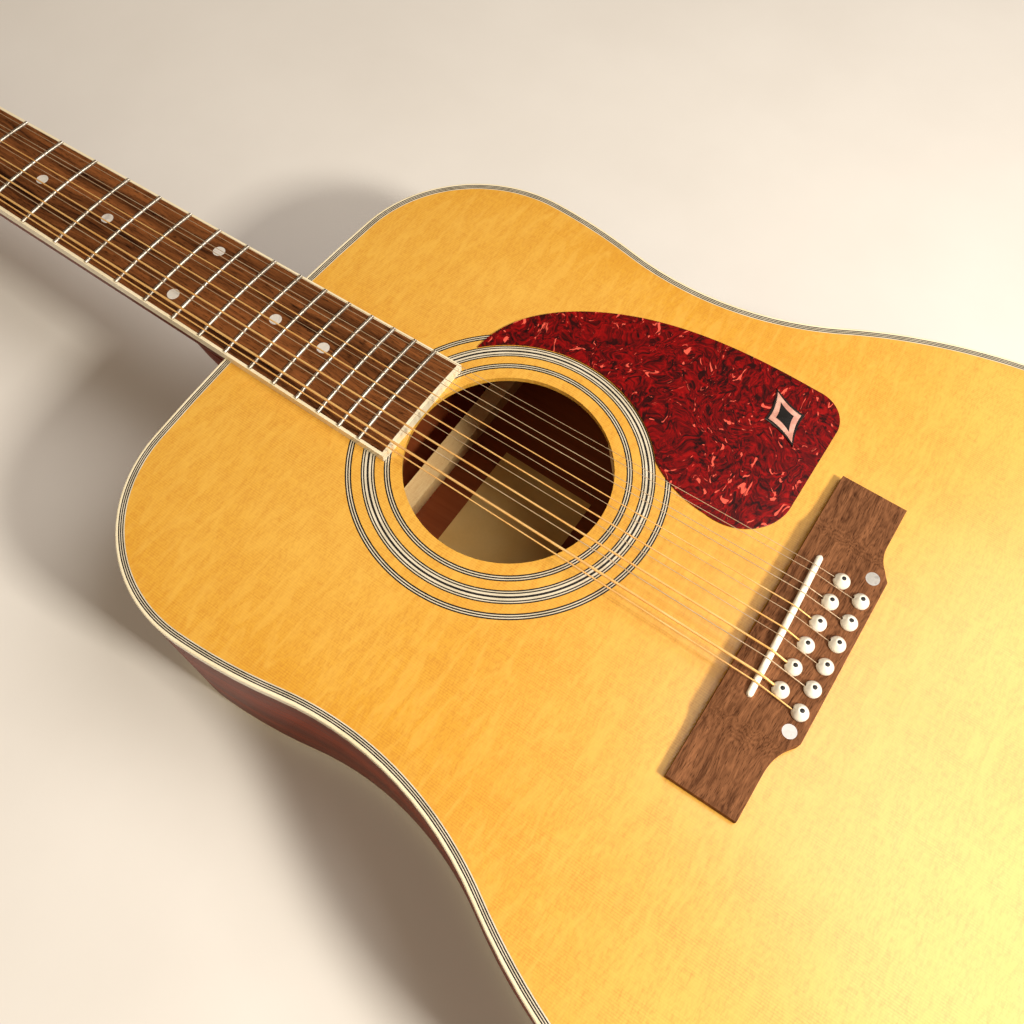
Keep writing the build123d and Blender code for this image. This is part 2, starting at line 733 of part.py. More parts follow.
def string_path(n):
    """Ends, bends and last arc of string n, from the bridge plate to its post."""
    r = STRING_D[n] / 2
    course, second = divmod(n, 2)
    u, v, slot_shift = pin_spots[second][course]
    us = string_u(n, COURSE_PITCH_SADDLE, PAIR_GAP_SADDLE)
    un, wn = nut_point(n)
    ball = top.from_local_coords((u + slot_shift, v + BALL_V, BALL_W))
    hook = top.from_local_coords((u + slot_shift, v + STRING_SLOT_V, BALL_W + 1.4))
    bend = top.from_local_coords((u + slot_shift, v + STRING_SLOT_V, BRIDGE_T + 0.55 + r))
    crest = top.from_local_coords((us, SADDLE_V + us * tan(slant), SADDLE_TOP - crown_drop(us) + r + 0.1))
    nut = top.from_local_coords((un, SCALE + NUT_T + 1.0, wn + 0.08))
    # straight on to the inner side of the post, in the headstock's own frame
    side, post_s = string_post(n)
    start = head.to_local_coords(nut)
    wrap_r = POST_R + WRAP_GAP + r
    du, ds = side * POST_U - start.X, post_s - start.Y
    reach = hypot(du, ds)
    turn = asin(wrap_r / reach) * side
    heading = atan2(ds, du) + turn
    run = sqrt(reach**2 - wrap_r**2)
    touch = Vector(start.X + run * cos(heading), start.Y + run * sin(heading), WRAP_T)
    ahead = (touch - start).normalized()
    inward = Vector(side * sin(heading), -side * cos(heading), 0)
    centre = touch + inward * wrap_r
    arc = []
    for angle in (80, 160):
        a = radians(angle)
        arc.append(head.from_local_coords(centre - inward * (wrap_r * cos(a)) + ahead * (wrap_r * sin(a))))
    return [ball, hook, bend, crest, nut, head.from_local_coords(touch)], arc


def string_line(n):
    corners, (middle, end) = string_path(n)
    radii = [0.8, 1.6, 2.0, 8.0]
    with BuildLine() as line:
        FilletPolyline(*corners, radius=radii)
        ThreePointArc(corners[-1], middle, end)
    return line


string_groups = {"strings_wound": WOUND, "strings_plain": [n for n in range(12) if n not in WOUND]}
for name, members in string_groups.items():
    with BuildPart() as strings:
        for n in members:
            path = string_line(n).wires()[0]
            with BuildSketch(Plane(origin=path @ 0, z_dir=path % 0)):
                Circle(STRING_D[n] / 2)
            sweep(path=path)
            with BuildSketch(Plane(origin=path @ 0, z_dir=(1, 0, 0))):
                Circle(BALL_R)
            extrude(amount=BALL_LENGTH / 2, both=True)
    strings.part.label = name
    export_step(strings.part, f"parts/{name}.step")

with BuildPart() as nut:
    with BuildSketch(top):
        with Locations((0, SCALE + NUT_T / 2)):
            Rectangle(NUT_WIDTH, NUT_T)
    extrude(amount=NUT_TOP)
    with BuildSketch(across(SCALE + NUT_T + 1)):
        with BuildLine():
            edge_w = NUT_TOP - crown_drop(30)
            ThreePointArc((-30, edge_w), (0, NUT_TOP), (30, edge_w))
            Polyline((30, edge_w), (30, -1), (-30, -1), (-30, edge_w))
        make_face()
    extrude(amount=NUT_T + 2, mode=Mode.INTERSECT)
    with BuildSketch(across(SCALE + NUT_T + 1)):
        for n in range(12):
            u, w = nut_point(n)
            slot_w = STRING_D[n] + 0.08
            with Locations((u, w)):
                Circle(slot_w / 2)
            with Locations((u, w + 2)):
                Rectangle(slot_w, 4)
    extrude(amount=NUT_T + 2, mode=Mode.SUBTRACT)
nut.part.label = "nut"
export_step(nut.part, "parts/nut.step")

# ================================================================ neck
NECK_DEPTH_NUT = 20.0
NECK_DEPTH_BODY = 23.0
SHAFT_END = HEAD_V + 22.0
HEEL_SECTIONS = [(-6, 29.2, 66), (-24, 27.5, 40), (-48, 21.5, 28), (-80, 16.5, 22), (-118, 14.0, 19)]
HEEL_CAP_Z = 2.5
CAP_BOTTOM_Z = 0.5


def neck_section(v, depth):
    """Half-ellipse section of the neck's shaft at v."""
    half = board_half(v)
    with BuildSketch(across(v)) as section:
        with BuildLine():
            EllipticalCenterArc((0, 0), half, depth, start_angle=180, arc_size=180)
            Line((half, 0), (-half, 0))
        make_face()
    return section.sketch


def heel_section(w, half, length):
    """The heel's plan section at depth w: flat on the body, rounded in front."""
    with BuildSketch(on_top(0, NECK_END, w)) as section:
        with BuildLine():
            EllipticalCenterArc((0, 0), half, length, start_angle=0, arc_size=180)
            Line((-half, 0), (half, 0))
        make_face()
    return section.sketch


with BuildPart() as heel:
    loft(sections=[heel_section(*section) for section in HEEL_SECTIONS])
    split(bisect_by=Plane.XY.offset(CAP_BOTTOM_Z), keep=Keep.TOP)

with BuildPart() as heel_cap:
    add(heel.part)
    split(bisect_by=Plane.XY.offset(HEEL_CAP_Z), keep=Keep.BOTTOM)
heel_cap.part.label = "heel_cap"
export_step(heel_cap.part, "parts/heel_cap.step")


def head_face(low):
    """The headstock's outline from station low to its crown."""
    with BuildLine() as outline:
        for side in (1, -1):
            Line((0, low), (side * 24.0, low))
            Line((side * 24.0, low), (side * 24.3, 2))
            Bezier((side * 24.3, 2), (side * 24.9, 15), (side * 34.5, 13), (side * 35.2, 31))
            Line((side * 35.2, 31), (side * 37.4, HEAD_LENGTH - 10))
            ThreePointArc(
                (side * 37.4, HEAD_LENGTH - 10),
                (side * 35.9, HEAD_LENGTH - 5.2),
                (side * 31.0, HEAD_LENGTH - 3.5),
            )
        ThreePointArc((31.0, HEAD_LENGTH - 3.5), (0, HEAD_LENGTH), (-31.0, HEAD_LENGTH - 3.5))
    make_face(outline.edges())


ROD_W = -5.0
ROD_R = 3.0
ROD_START = NECK_END + 8
ROD_END = HEAD_V + 10
post_spots = [(side * POST_U, POST_S + POST_PITCH * i) for side in (-1, 1) for i in range(6)]
BUSHING_R = 4.5
SCREW_R = 1.2
plate_screw_spots = [
    (side * POST_U, POST_S - 8.5 + POST_PITCH * i) for side in (-1, 1) for i in range(7)
]
cover_screw_spots = [(-7.4, 6.5), (7.4, 6.5), (0, 37)]

with BuildPart() as truss_rod:
    with BuildSketch(across(ROD_END)):
        with Locations((0, ROD_W)):
            Circle(ROD_R)
    extrude(amount=ROD_END - ROD_START)
    with BuildSketch(across(ROD_END)):
        with Locations((0, ROD_W)):
            RegularPolygon(3.6, 6)
    extrude(amount=5.5)
truss_rod.part.label = "truss_rod"
export_step(truss_rod.part, "parts/truss_rod.step")

with BuildPart() as rod_channel:
    with BuildSketch(across(HEAD_V + 23)):
        with Locations((0, ROD_W + 3)):
            Rectangle(9.0, 14.4)
    extrude(amount=19)
    with BuildSketch(across(HEAD_V + 5)):
        with Locations((0, ROD_W + 4)):
            Rectangle(2 * ROD_R, 8 + 2 * ROD_R)
    extrude(amount=HEAD_V + 5 - ROD_START)

with BuildPart() as neck:
    loft(
        sections=[
            neck_section(NECK_END, NECK_DEPTH_BODY),
            neck_section(SHAFT_END, NECK_DEPTH_NUT),
        ]
    )
    split(bisect_by=head.offset(-VENEER_T), keep=Keep.BOTTOM)
    add(heel.part)
    split(bisect_by=Plane.XY.offset(HEEL_CAP_Z), keep=Keep.TOP)
    with BuildSketch(head.offset(-HEAD_T)):
        head_face(-7)
    extrude(amount=HEAD_T - VENEER_T)
    with BuildSketch(top):
        with Locations((0, SCALE - 50)):
            Rectangle(90, 120)
    extrude(amount=40, mode=Mode.SUBTRACT)
    add(tenon.part)
    add(rod_channel.part, mode=Mode.SUBTRACT)
    with BuildSketch(head.offset(-HEAD_T)):
        with Locations(*post_spots):
            Circle(BUSHING_R)
        with Locations(*plate_screw_spots):
            Circle(SCREW_R)
    extrude(amount=HEAD_T, mode=Mode.SUBTRACT)
    with BuildSketch(head.offset(-VENEER_T)):
        with Locations(*cover_screw_spots):
            Circle(SCREW_R)
    extrude(amount=-8, mode=Mode.SUBTRACT)
neck.part.label = "neck"
export_step(neck.part, "parts/neck.step")

with BuildPart() as headstock_veneer:
    with BuildSketch(head.offset(-VENEER_T)):
        head_face(0.2)
        with Locations(*post_spots):
            Circle(BUSHING_R, mode=Mode.SUBTRACT)
        with Locations(*cover_screw_spots):
            Circle(SCREW_R, mode=Mode.SUBTRACT)
    extrude(amount=VENEER_T)
    add(rod_channel.part, mode=Mode.SUBTRACT)
headstock_veneer.part.label = "headstock_veneer"
export_step(headstock_veneer.part, "parts/headstock_veneer.step")

COVER_T = 2.0
with BuildPart() as truss_rod_cover:
    with BuildSketch(head):
        with BuildLine():
            for side in (1, -1):
                Line((0, 1.5), (side * 11, 1.5))
                Bezier((side * 11, 1.5), (side * 11, 22), (side * 5.5, 20), (side * 4.6, 38))
            ThreePointArc((4.6, 38), (0, 42), (-4.6, 38))
        make_face()
        with Locations(*cover_screw_spots):
            Circle(SCREW_R, mode=Mode.SUBTRACT)
    extrude(amount=COVER_T)
truss_rod_cover.part.label = "truss_rod_cover"
export_step(truss_rod_cover.part, "parts/truss_rod_cover.step")

with BuildPart() as strap_button:
    with BuildSketch(Plane(origin=strap_plane.origin, x_dir=top.z_dir, z_dir=(1, 0, 0))):
        # local x is the radius and local y points out of the tail
        with BuildLine():
            Polyline(
                (0, -25),
                (STRAP_R, -25),
                (STRAP_R, 0),
                (6.2, 0),
                (6.2, 1.6),
                (4.2, 3.0),
                (4.2, 6.4),
            )
            ThreePointArc((4.2, 6.4), (6.6, 8.2), (7.2, 9.6))
            ThreePointArc((7.2, 9.6), (5.6, 11.6), (1.0, 12.6))
            Line((1.0, 12.6), (0, 12.6))
            Line((0, 12.6), (0, -25))
        make_face()
    revolve(axis=Axis(strap_plane.origin, strap_plane.z_dir))
strap_button.part.label = "strap_button"
export_step(strap_button.part, "parts/strap_button.step")

# ================================================================ tuners
EAR_R = 3.2
ear_rise = -SHAFT_T - HEAD_T - PLATE_T
with BuildPart() as tuner_strips:
    with BuildSketch(head.offset(-HEAD_T)):
        for side in (-1, 1):
            with Locations((side * POST_U, POST_S + 2.5 * POST_PITCH + 5.5)):
                RectangleRounded(17, 5 * POST_PITCH + 33, 3)
        with Locations(*post_spots):
            Circle(POST_R + RUN_GAP, mode=Mode.SUBTRACT)
        with Locations(*plate_screw_spots):
            Circle(SCREW_R, mode=Mode.SUBTRACT)
    extrude(amount=-PLATE_T)
    for u, s in post_spots:
        for ear_side in (-1, 1):
            inner = u + ear_side * EAR_GAP / 2
            ear_plane = Plane(
                origin=head.from_local_coords((inner, s + WORM_OFFSET, SHAFT_T)),
                x_dir=head.y_dir,
                z_dir=(ear_side, 0, 0),
            )
            with BuildSketch(ear_plane):
                Circle(EAR_R)
                with Locations((0, ear_side * ear_rise / 2)):
                    Rectangle(2 * EAR_R, ear_rise)
                Circle(SHAFT_R + RUN_GAP, mode=Mode.SUBTRACT)
            extrude(amount=EAR_T)
    # post bushings in the face
    with BuildSketch(head.offset(-8)):
        with Locations(*post_spots):
            Circle(BUSHING_R)
            Circle(POST_R + RUN_GAP, mode=Mode.SUBTRACT)
    extrude(amount=8)
    with BuildSketch(head):
        with Locations(*post_spots):
            Circle(5.7)
            Circle(POST_R + RUN_GAP, mode=Mode.SUBTRACT)
    extrude(amount=1.2)
tuner_strips.part.label = "tuner_strips"
export_step(tuner_strips.part, "parts/tuner_strips.step")

with BuildPart() as screws_and_bolts:
    add(bridge_bolts.part)
    with BuildSketch(head.offset(-HEAD_T - PLATE_T)):
        with Locations(*plate_screw_spots):
            Circle(SCREW_R)
    extrude(amount=PLATE_T + 9)
    with BuildSketch(head.offset(-HEAD_T - PLATE_T)):
        with Locations(*plate_screw_spots):
            Circle(2.2)
    extrude(amount=-1.1)
    with BuildSketch(head.offset(COVER_T)):
        with Locations(*cover_screw_spots):
            Circle(SCREW_R)
    extrude(amount=-COVER_T - VENEER_T - 7)
    with BuildSketch(head.offset(COVER_T)):
        with Locations(*cover_screw_spots):
            Circle(2.1)
    extrude(amount=0.9)
screws_and_bolts.part.label = "screws_and_bolts"
export_step(screws_and_bolts.part, "parts/screws_and_bolts.step")

GEAR_T = 3.6
WORM_ROOT_R = 1.9
BUTTON_ROUND = 2.2
shaft_tail = EAR_GAP / 2 + EAR_T + 1.2
worm_half = EAR_GAP / 2 - 0.1
gear_top = SHAFT_T + GEAR_T / 2
gear_low = SHAFT_T - GEAR_T / 2
for n in range(12):
    side, s = string_post(n)
    u = side * POST_U
    spot = on_head(u, s)
    axis = Axis(spot.origin, head.z_dir)
    with BuildPart() as post:
        with BuildSketch(Plane(origin=spot.origin, x_dir=(1, 0, 0), z_dir=-head.y_dir)):
            with BuildLine():
                Polyline(
                    (0, gear_low - 1.2),
                    (2.3, gear_low - 1.2),
                    (2.3, gear_low),
                    (2.8, gear_low),
                    (2.8, gear_top),
                    (POST_R, gear_top),
                    (POST_R, POST_TOP - 0.8),
                    (POST_R - 0.8, POST_TOP),
                    (0, POST_TOP),
                    close=True,
                )
            make_face()
        revolve(axis=axis)
        with BuildSketch(on_head(u, s, gear_low)):
            Circle(GEAR_R)
            with PolarLocations(GEAR_R, GEAR_TEETH):
                Rectangle(1.5, 1.1, mode=Mode.SUBTRACT)
        extrude(amount=GEAR_T)
        # the string's hole crosses the post just over the windings
        with BuildSketch(Plane(origin=head.from_local_coords((u, s, WRAP_T + 1.4)), z_dir=(1, 0, 0))):
            Circle(0.8)
        extrude(amount=POST_R + 1, both=True, mode=Mode.SUBTRACT)
    post.part.label = f"string_post_{n + 1}"
    export_step(post.part, f"parts/string_post_{n + 1}.step")

    # the button is an oval plate with rounded edges
    button_plane = Plane(
        origin=head.from_local_coords((side * BUTTON_START, s + WORM_OFFSET, SHAFT_T - BUTTON_T / 2)),
        x_dir=(side, 0, 0),
        z_dir=head.z_dir,
    )
    with BuildPart() as button:
        with BuildSketch(button_plane):
            with Locations((BUTTON_LENGTH / 2, 0)):
                Ellipse(BUTTON_LENGTH / 2, BUTTON_W / 2)
        extrude(amount=BUTTON_T)
        fillet(button.edges(), BUTTON_ROUND)

    shaft_origin = head.from_local_coords((u, s + WORM_OFFSET, SHAFT_T))
    shaft_plane = Plane(origin=shaft_origin, x_dir=head.y_dir, z_dir=(side, 0, 0))
    with BuildPart() as knob:
        with BuildSketch(shaft_plane.offset(-shaft_tail)):
            Circle(SHAFT_R)
        extrude(amount=shaft_tail + BUTTON_START + 3 - POST_U)
        with BuildSketch(Plane(origin=shaft_origin, x_dir=(side, 0, 0), z_dir=head.z_dir)):
            with BuildLine():
                # turned thread crests on the worm
                crests = [(-worm_half, 0), (-worm_half, WORM_ROOT_R)]
                for k in range(6):
                    x = -worm_half + 0.7 + k * 1.42
                    crests += [
                        (x, WORM_ROOT_R),
                        (x + 0.25, WORM_R),
                        (x + 0.55, WORM_R),
                        (x + 0.8, WORM_ROOT_R),
                    ]
                crests += [(worm_half, WORM_ROOT_R), (worm_half, 0)]
                Polyline(*crests, close=True)
            make_face()
        revolve(axis=Axis(shaft_origin, (1, 0, 0)))
        with BuildSketch(shaft_plane.offset(BUTTON_START - 3 - POST_U)):
            Circle(2.5)
        extrude(amount=3.5)
        add(button.part)
    knob.part.label = f"tuner_knob_{n + 1}"
    export_step(knob.part, f"parts/tuner_knob_{n + 1}.step")
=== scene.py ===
"""Looks for a 12-string flat-top guitar lying on its back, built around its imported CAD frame."""

from math import atan2, ceil, cos, degrees, pi, radians, sin, sqrt

import bmesh
import bpy
from mathutils import Matrix, Vector


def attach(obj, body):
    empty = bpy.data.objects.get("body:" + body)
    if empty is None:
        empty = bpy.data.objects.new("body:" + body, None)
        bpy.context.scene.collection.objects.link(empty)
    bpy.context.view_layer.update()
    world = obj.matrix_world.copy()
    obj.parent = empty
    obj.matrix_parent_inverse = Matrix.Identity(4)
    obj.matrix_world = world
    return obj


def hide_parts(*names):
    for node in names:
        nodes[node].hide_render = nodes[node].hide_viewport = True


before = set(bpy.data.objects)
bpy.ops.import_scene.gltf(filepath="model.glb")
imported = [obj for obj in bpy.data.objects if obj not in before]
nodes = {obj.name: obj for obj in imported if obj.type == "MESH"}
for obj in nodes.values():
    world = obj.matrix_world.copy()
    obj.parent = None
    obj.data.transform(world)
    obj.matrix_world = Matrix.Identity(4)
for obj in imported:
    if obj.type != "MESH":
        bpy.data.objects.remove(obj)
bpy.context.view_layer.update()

# ---------------------------------------------------------------- driving dimensions (mm)
SCALE = 647.7
NUT_T = 5.5
TOP_TILT = 2.36
SADDLE_SPOT = (0.0, -35.0, 112.4)
HEAD_PITCH = 14.0
HEAD_RISE = 2.06

NECK_END = 290.2
BODY_ARCS = [(1132, 4.15), (76, 87.1), (285, 10.55), (161, -42), (274.5, 29.4), (108.8, 65.8)]
BINDING_W = 1.5
EDGE_W = 4.4              # binding and purfling together
EDGE_LAST_LINE = 0.5      # the white line next to the spruce
PURFLING_H = 1.2
RING_WAVE = 285.0         # growth rings 1.1 mm apart
HOLE_V = 139.2
ROSETTE_DEPTH = 1.0
SIDE_RING_W = 3.0
SIDE_RINGS_R = (55.6, 73.7)
MIDDLE_RING_R = 62.8
MIDDLE_RING_EDGE = [("black", 0.63), ("white", 0.48), ("black", 0.63)]
MIDDLE_RING_CORE = [("white", 1.0), ("black", 1.02), ("white", 1.0)]

BRIDGE_T = 7.6
PIN_PITCH = 11.745
PIN_ROWS = [(-26.05, -2.0), (-15.16, 2.0)]     # place along the bridge, shift sideways
PIN_R = 2.55
PIN_BOTTOM = BRIDGE_T - 22.0
PIN_GROOVE_R = 1.9
PIN_GROOVE_TURN = 12      # degrees each side of the front
PIN_GROOVE_TOP = 1.5
CROWN_R = 305.0
SADDLE_V = -3.85
SADDLE_SLANT = 2.4
SADDLE_TOP = 11.4
SADDLE_LENGTH = 74.5
SADDLE_W = 3.0
SADDLE_BOTTOM = 3.0
SADDLE_STEPS = 300
SADDLE_RISE = 0.15        # the polished crest over the CAD one
SADDLE_LEAN = 0.45        # the crest steps to and fro, so that each string of a pair is in tune
SADDLE_END_DROP = 0.5
NOTCH_DEPTH = 0.18
NOTCH_HALF_W = 0.6
COURSE_PITCH_SADDLE = 11.6
PAIR_GAP_SADDLE = 3.8

ORNAMENT_SPOT = (98.0, 44.0)
ORNAMENT_TURN = 40.0
ORNAMENT_BOW = 0.36       # how near the middle its hollow sides are drawn

BODY_MIDDLE = (0.0, 0.0, 0.055)   # metres

# string diameters from the bass side, octave string first in each course
STRING_D = [0.69, 1.19, 0.46, 0.99, 0.31, 0.76, 0.26, 0.58, 0.36, 0.36, 0.26, 0.26]
WOUND = [0, 1, 3, 5, 7]
POST_U = 25.5
POST_START = 38.0
POST_PITCH = 25.4
POST_R = 3.0
WRAP_T = 5.0
WRAP_GAP = 0.2
WRAP_SPACING = 1.04       # from turn to turn, in string diameters
WRAP_STEPS = 36
MOST_WRAPS = 4
COLLAR_T = 1.25
TAIL_OUT = 3.0
TAIL_ABOVE_WRAP = 1.4
TAIL_R_MAX = 0.55         # what the post's hole takes
WINDING_WAVE = 314.0 / 0.36   # bronze turns 0.36 mm apart

MM = Matrix.Scale(0.001, 4)
tilt = radians(TOP_TILT)
pitch = radians(TOP_TILT + HEAD_PITCH)
# the soundboard's face in mm: u across, v towards the nut, w out of the face
top = Matrix.Translation(Vector(SADDLE_SPOT) * 0.001) @ Matrix.Rotation(-tilt, 4, "X") @ MM
head_start = top @ Vector((0, SCALE + NUT_T + 0.3, HEAD_RISE))
head = Matrix.Translation(head_start) @ Matrix.Rotation(-pitch, 4, "X") @ MM


# ================================================================ materials
def srgb(red, green, blue):
    """A colour given as 0-255 display values, as the linear colour that shaders take."""
    linear = []
    for value in (red, green, blue):
        c = value / 255
        linear.append(c / 12.92 if c <= 0.04045 else ((c + 0.055) / 1.055) ** 2.4)
    return (*linear, 1.0)


class Finish:
    """A procedural material, built up by short calls that add nodes and return their outputs."""

    def __init__(self, name, **settings):
        self.material = bpy.data.materials.new(name)
        self.material.use_nodes = True
        self.tree = self.material.node_tree
        self.shader = self.tree.nodes["Principled BSDF"]
        self.place = self.add("ShaderNodeTexCoord", "Object")
        parts = self.add("ShaderNodeSeparateXYZ", None, {"Vector": self.place})
        self.x, self.y, self.z = parts.outputs
        self.set(**settings)

    def feed(self, node, inputs):
        for name, value in inputs.items():
            socket = node.inputs[name]
            if isinstance(value, bpy.types.NodeSocket):
                self.tree.links.new(value, socket)
            else:
                socket.default_value = value

    def add(self, kind, output, inputs=None, **settings):
        node = self.tree.nodes.new(kind)
        for name, value in settings.items():
            setattr(node, name, value)
        self.feed(node, inputs or {})
        return node if output is None else node.outputs[output]

    def set(self, **settings):
        """Shader inputs by name, such as base_color for Base Color."""
        small = {"ior": "IOR", "coat_ior": "Coat IOR", "specular": "Specular IOR Level"}
        for name, value in settings.items():
            title = small.get(name, name.replace("_", " ").title())
            self.feed(self.shader, {title: value})

    def vector(self, x, y, z):
        return self.add("ShaderNodeCombineXYZ", "Vector", {"X": x, "Y": y, "Z": z})

    def math(self, operation, a, b=0.0):
        return self.add("ShaderNodeMath", 0, {0: a, 1: b}, operation=operation)

    def spread(self, scale, vector=None):
        """The place with each axis stretched by its own factor."""
        inputs = {"Vector": vector or self.place, "Scale": scale}
        return self.add("ShaderNodeMapping", "Vector", inputs)

    def noise(self, scale, vector=None, detail=3.0, roughness=0.55, distortion=0.0, output=0):
        """Output 0 is a value from 0 to 1, and output 1 a colour that can bend a place."""
        inputs = {"Scale": scale, "Detail": detail, "Roughness": roughness, "Distortion": distortion}
        inputs["Vector"] = vector or self.place
        return self.add("ShaderNodeTexNoise", output, inputs)

    def wave(self, scale, vector, distortion=0.0, detail=2.0, detail_scale=1.0):
        inputs = {"Scale": scale, "Vector": vector, "Distortion": distortion}
        inputs.update({"Detail": detail, "Detail Scale": detail_scale})
        return self.add("ShaderNodeTexWave", "Fac", inputs, bands_direction="X")

    def ramp(self, value, *stops):
        """A colour ramp with stops of (position, colour)."""
        node = self.add("ShaderNodeValToRGB", None, {"Fac": value})
        elements = node.color_ramp.elements
        while len(elements) < len(stops):
            elements.new(0.5)
        for element, (position, colour) in zip(elements, stops):
            element.position = position
            element.color = colour if not isinstance(colour, float) else (colour, colour, colour, 1)
        return node.outputs["Color"]

    def mix(self, factor, a, b, blend="MIX"):
        """A colour mix; the node's colour inputs are its sockets 6 and 7, and its colour output is 2."""
        inputs = {"Factor": factor, 6: a, 7: b}
        return self.add("ShaderNodeMix", 2, inputs, data_type="RGBA", blend_type=blend)

    def between(self, value, low, high):
        """Maps 0..1 to low..high."""
        return self.add("ShaderNodeMapRange", 0, {"Value": value, "To Min": low, "To Max": high})

    def inside(self):
        """1 on faces that look in towards the middle of the body, 0 on the others."""
        normal = self.add("ShaderNodeTexCoord", "Normal")
        outward = self.add("ShaderNodeVectorMath", 0, {0: self.place, 1: BODY_MIDDLE}, operation="SUBTRACT")
        facing = self.add("ShaderNodeVectorMath", 1, {0: normal, 1: outward}, operation="DOT_PRODUCT")
        return self.math("LESS_THAN", facing, 0.0)

    def bump(self, height, strength, distance):
        inputs = {"Height": height, "Strength": strength, "Distance": distance}
        normal = self.add("ShaderNodeBump", "Normal", inputs)
        self.set(normal=normal)


def make_spruce(name, honey, pale, late, ring_contrast, gloss):
    """Straight-grained spruce, bookmatched about the centre line, its rings along Y, with a painted glare
    that makes it paler towards the tail.
    """
    f = Finish(name, coat_weight=gloss, coat_roughness=0.27, coat_ior=1.5, specular=0.3)
    side = f.math("ABSOLUTE", f.x)
    half = f.vector(side, f.y, f.z)
    wander = f.noise(5.0, f.spread((1.0, 0.25, 1.0), half), 2.0, 0.5)
    across = f.math("ADD", side, f.math("MULTIPLY", wander, 0.012))
    bent = f.vector(across, f.y, f.z)
    rings = f.ramp(f.wave(RING_WAVE, bent), (0.35, 0.0), (1.0, 1.0))
    strength = f.noise(1.0, f.spread((60.0, 3.0, 8.0), bent), 3.0)
    line = f.math("MULTIPLY", rings, f.ramp(strength, (0.35, 0.25), (0.65, 1.0)))
    fibres = f.noise(1.0, f.spread((2300.0, 60.0, 60.0), bent), 4.0, 0.65)
    ticks = f.noise(1.0, f.spread((420.0, 1300.0, 200.0), half), 2.0, 0.6)
    silk = f.noise(1.0, f.spread((50.0, 190.0, 10.0), half), 3.0, 0.55, 1.0)
    clouds = f.noise(5.0, half, 3.0)
    # random cloudy tone plus a painted glare: the face is painted paler towards the tail (lower y), where
    # the lamps' sheen falls
    clouds_and_painted_glare = f.math("SUBTRACT", f.ramp(clouds, (0.35, 0.2), (0.68, 1.0)), f.math("MULTIPLY", f.y, 1.4))
    base = f.mix(f.math("MINIMUM", f.math("MAXIMUM", clouds_and_painted_glare, 0.0), 1.0), honey, pale)
    base = f.mix(f.math("MULTIPLY", line, ring_contrast), base, late)
    base = f.mix(f.ramp(fibres, (0.40, 0.0), (0.75, 0.25)), base, late)
    base = f.mix(f.ramp(ticks, (0.42, 0.0), (0.72, 0.36)), base, late)
    base = f.mix(f.ramp(silk, (0.45, 0.0), (0.66, 0.45)), base, pale)
    f.set(base_color=base, roughness=f.between(f.math("ADD", ticks, silk), 0.26, 0.56))
    f.bump(f.math("ADD", silk, f.math("ADD", fibres, ticks)), 0.08, 0.0002)
    return f.material


def make_wood(name, tones, stretch, pores, roughness, gloss=0.0, bare=None, layers=0.0, depth=0.25):
    """Wood with long streaks and short open pores.

    tones are the dark, light and pore colours, and stretch and pores the scales on each axis.
    bare is the colour of faces inside the body, and layers how far growth layers show.
    """
    dark, light, pore = tones
    f = Finish(name, coat_weight=gloss, coat_roughness=0.12, coat_ior=1.45, ior=1.2, specular=0.14)
    wander = f.noise(9.0, None, 2.0, 0.5, 0.0, 1)
    bent = f.mix(0.012, f.place, wander, "ADD")
    streaks = f.noise(1.0, f.spread(stretch, bent), 5.0, 0.66, 0.4)
    broad = f.noise(1.0, f.spread(tuple(s * 0.22 for s in stretch), bent), 3.0, 0.5)
    tone = f.ramp(f.math("MULTIPLY", f.math("ADD", streaks, broad), 0.5), (0.36, 0.0), (0.64, 1.0))
    if layers:
        ripple = f.noise(1.0, f.spread((16.0, 60.0, 60.0)), 3.0)
        height = f.math("ADD", f.z, f.math("MULTIPLY", f.math("ADD", f.y, ripple), 0.02))
        rings = f.wave(330.0, f.vector(height, f.y, f.z))
        tone = f.mix(layers, tone, rings)
    base = f.mix(tone, dark, light)
    open_pores = f.noise(1.0, f.spread(pores, bent), 3.0, 0.6)
    pits = f.ramp(open_pores, (0.54, 0.0), (0.68, 1.0))
    base = f.mix(f.math("MULTIPLY", pits, 0.8), base, pore)
    if bare:
        sanded = f.mix(f.math("MULTIPLY", tone, 0.4), bare, dark)
        base = f.mix(f.inside(), base, sanded)
    f.set(base_color=base, roughness=f.between(streaks, roughness - 0.08, roughness + 0.08))
    f.bump(f.math("SUBTRACT", streaks, pits), depth, 0.0003)
    return f.material


def make_tortoise():
    """Marbled pickguard plastic: deep red swirls with black smears and salmon flecks."""
    f = Finish("tortoise_guard", roughness=0.32, specular=0.2, coat_weight=0.2, coat_roughness=0.08)
    swirl = f.noise(22.0, None, 2.0, 0.5, 1.2, 1)
    bent = f.mix(0.034, f.place, swirl, "ADD")
    veins = f.noise(150.0, bent, 4.0, 0.62, 2.5)
    base = f.ramp(
        veins,
        (0.33, srgb(22, 2, 3)),
        (0.46, srgb(84, 2, 4)),
        (0.58, srgb(126, 3, 5)),
        (0.74, srgb(162, 12, 12)),
    )
    smears = f.noise(1.0, f.spread((80.0, 130.0, 110.0), bent), 3.0, 0.5, 1.8)
    base = f.mix(f.ramp(smears, (0.58, 0.0), (0.65, 0.92)), base, srgb(30, 3, 4))
    flecks = f.noise(1.0, f.spread((120.0, 185.0, 160.0), bent), 2.0, 0.5, 1.4)
    base = f.mix(f.ramp(flecks, (0.65, 0.0), (0.685, 1.0)), base, srgb(226, 92, 74))
    specks = f.noise(430.0, bent, 3.0, 0.55, 0.8)
    base = f.mix(f.ramp(specks, (0.69, 0.0), (0.74, 0.9)), base, srgb(204, 62, 52))
    f.set(base_color=base)
    f.bump(f.noise(60.0, None, 2.0), 0.05, 0.0004)
    return f.material


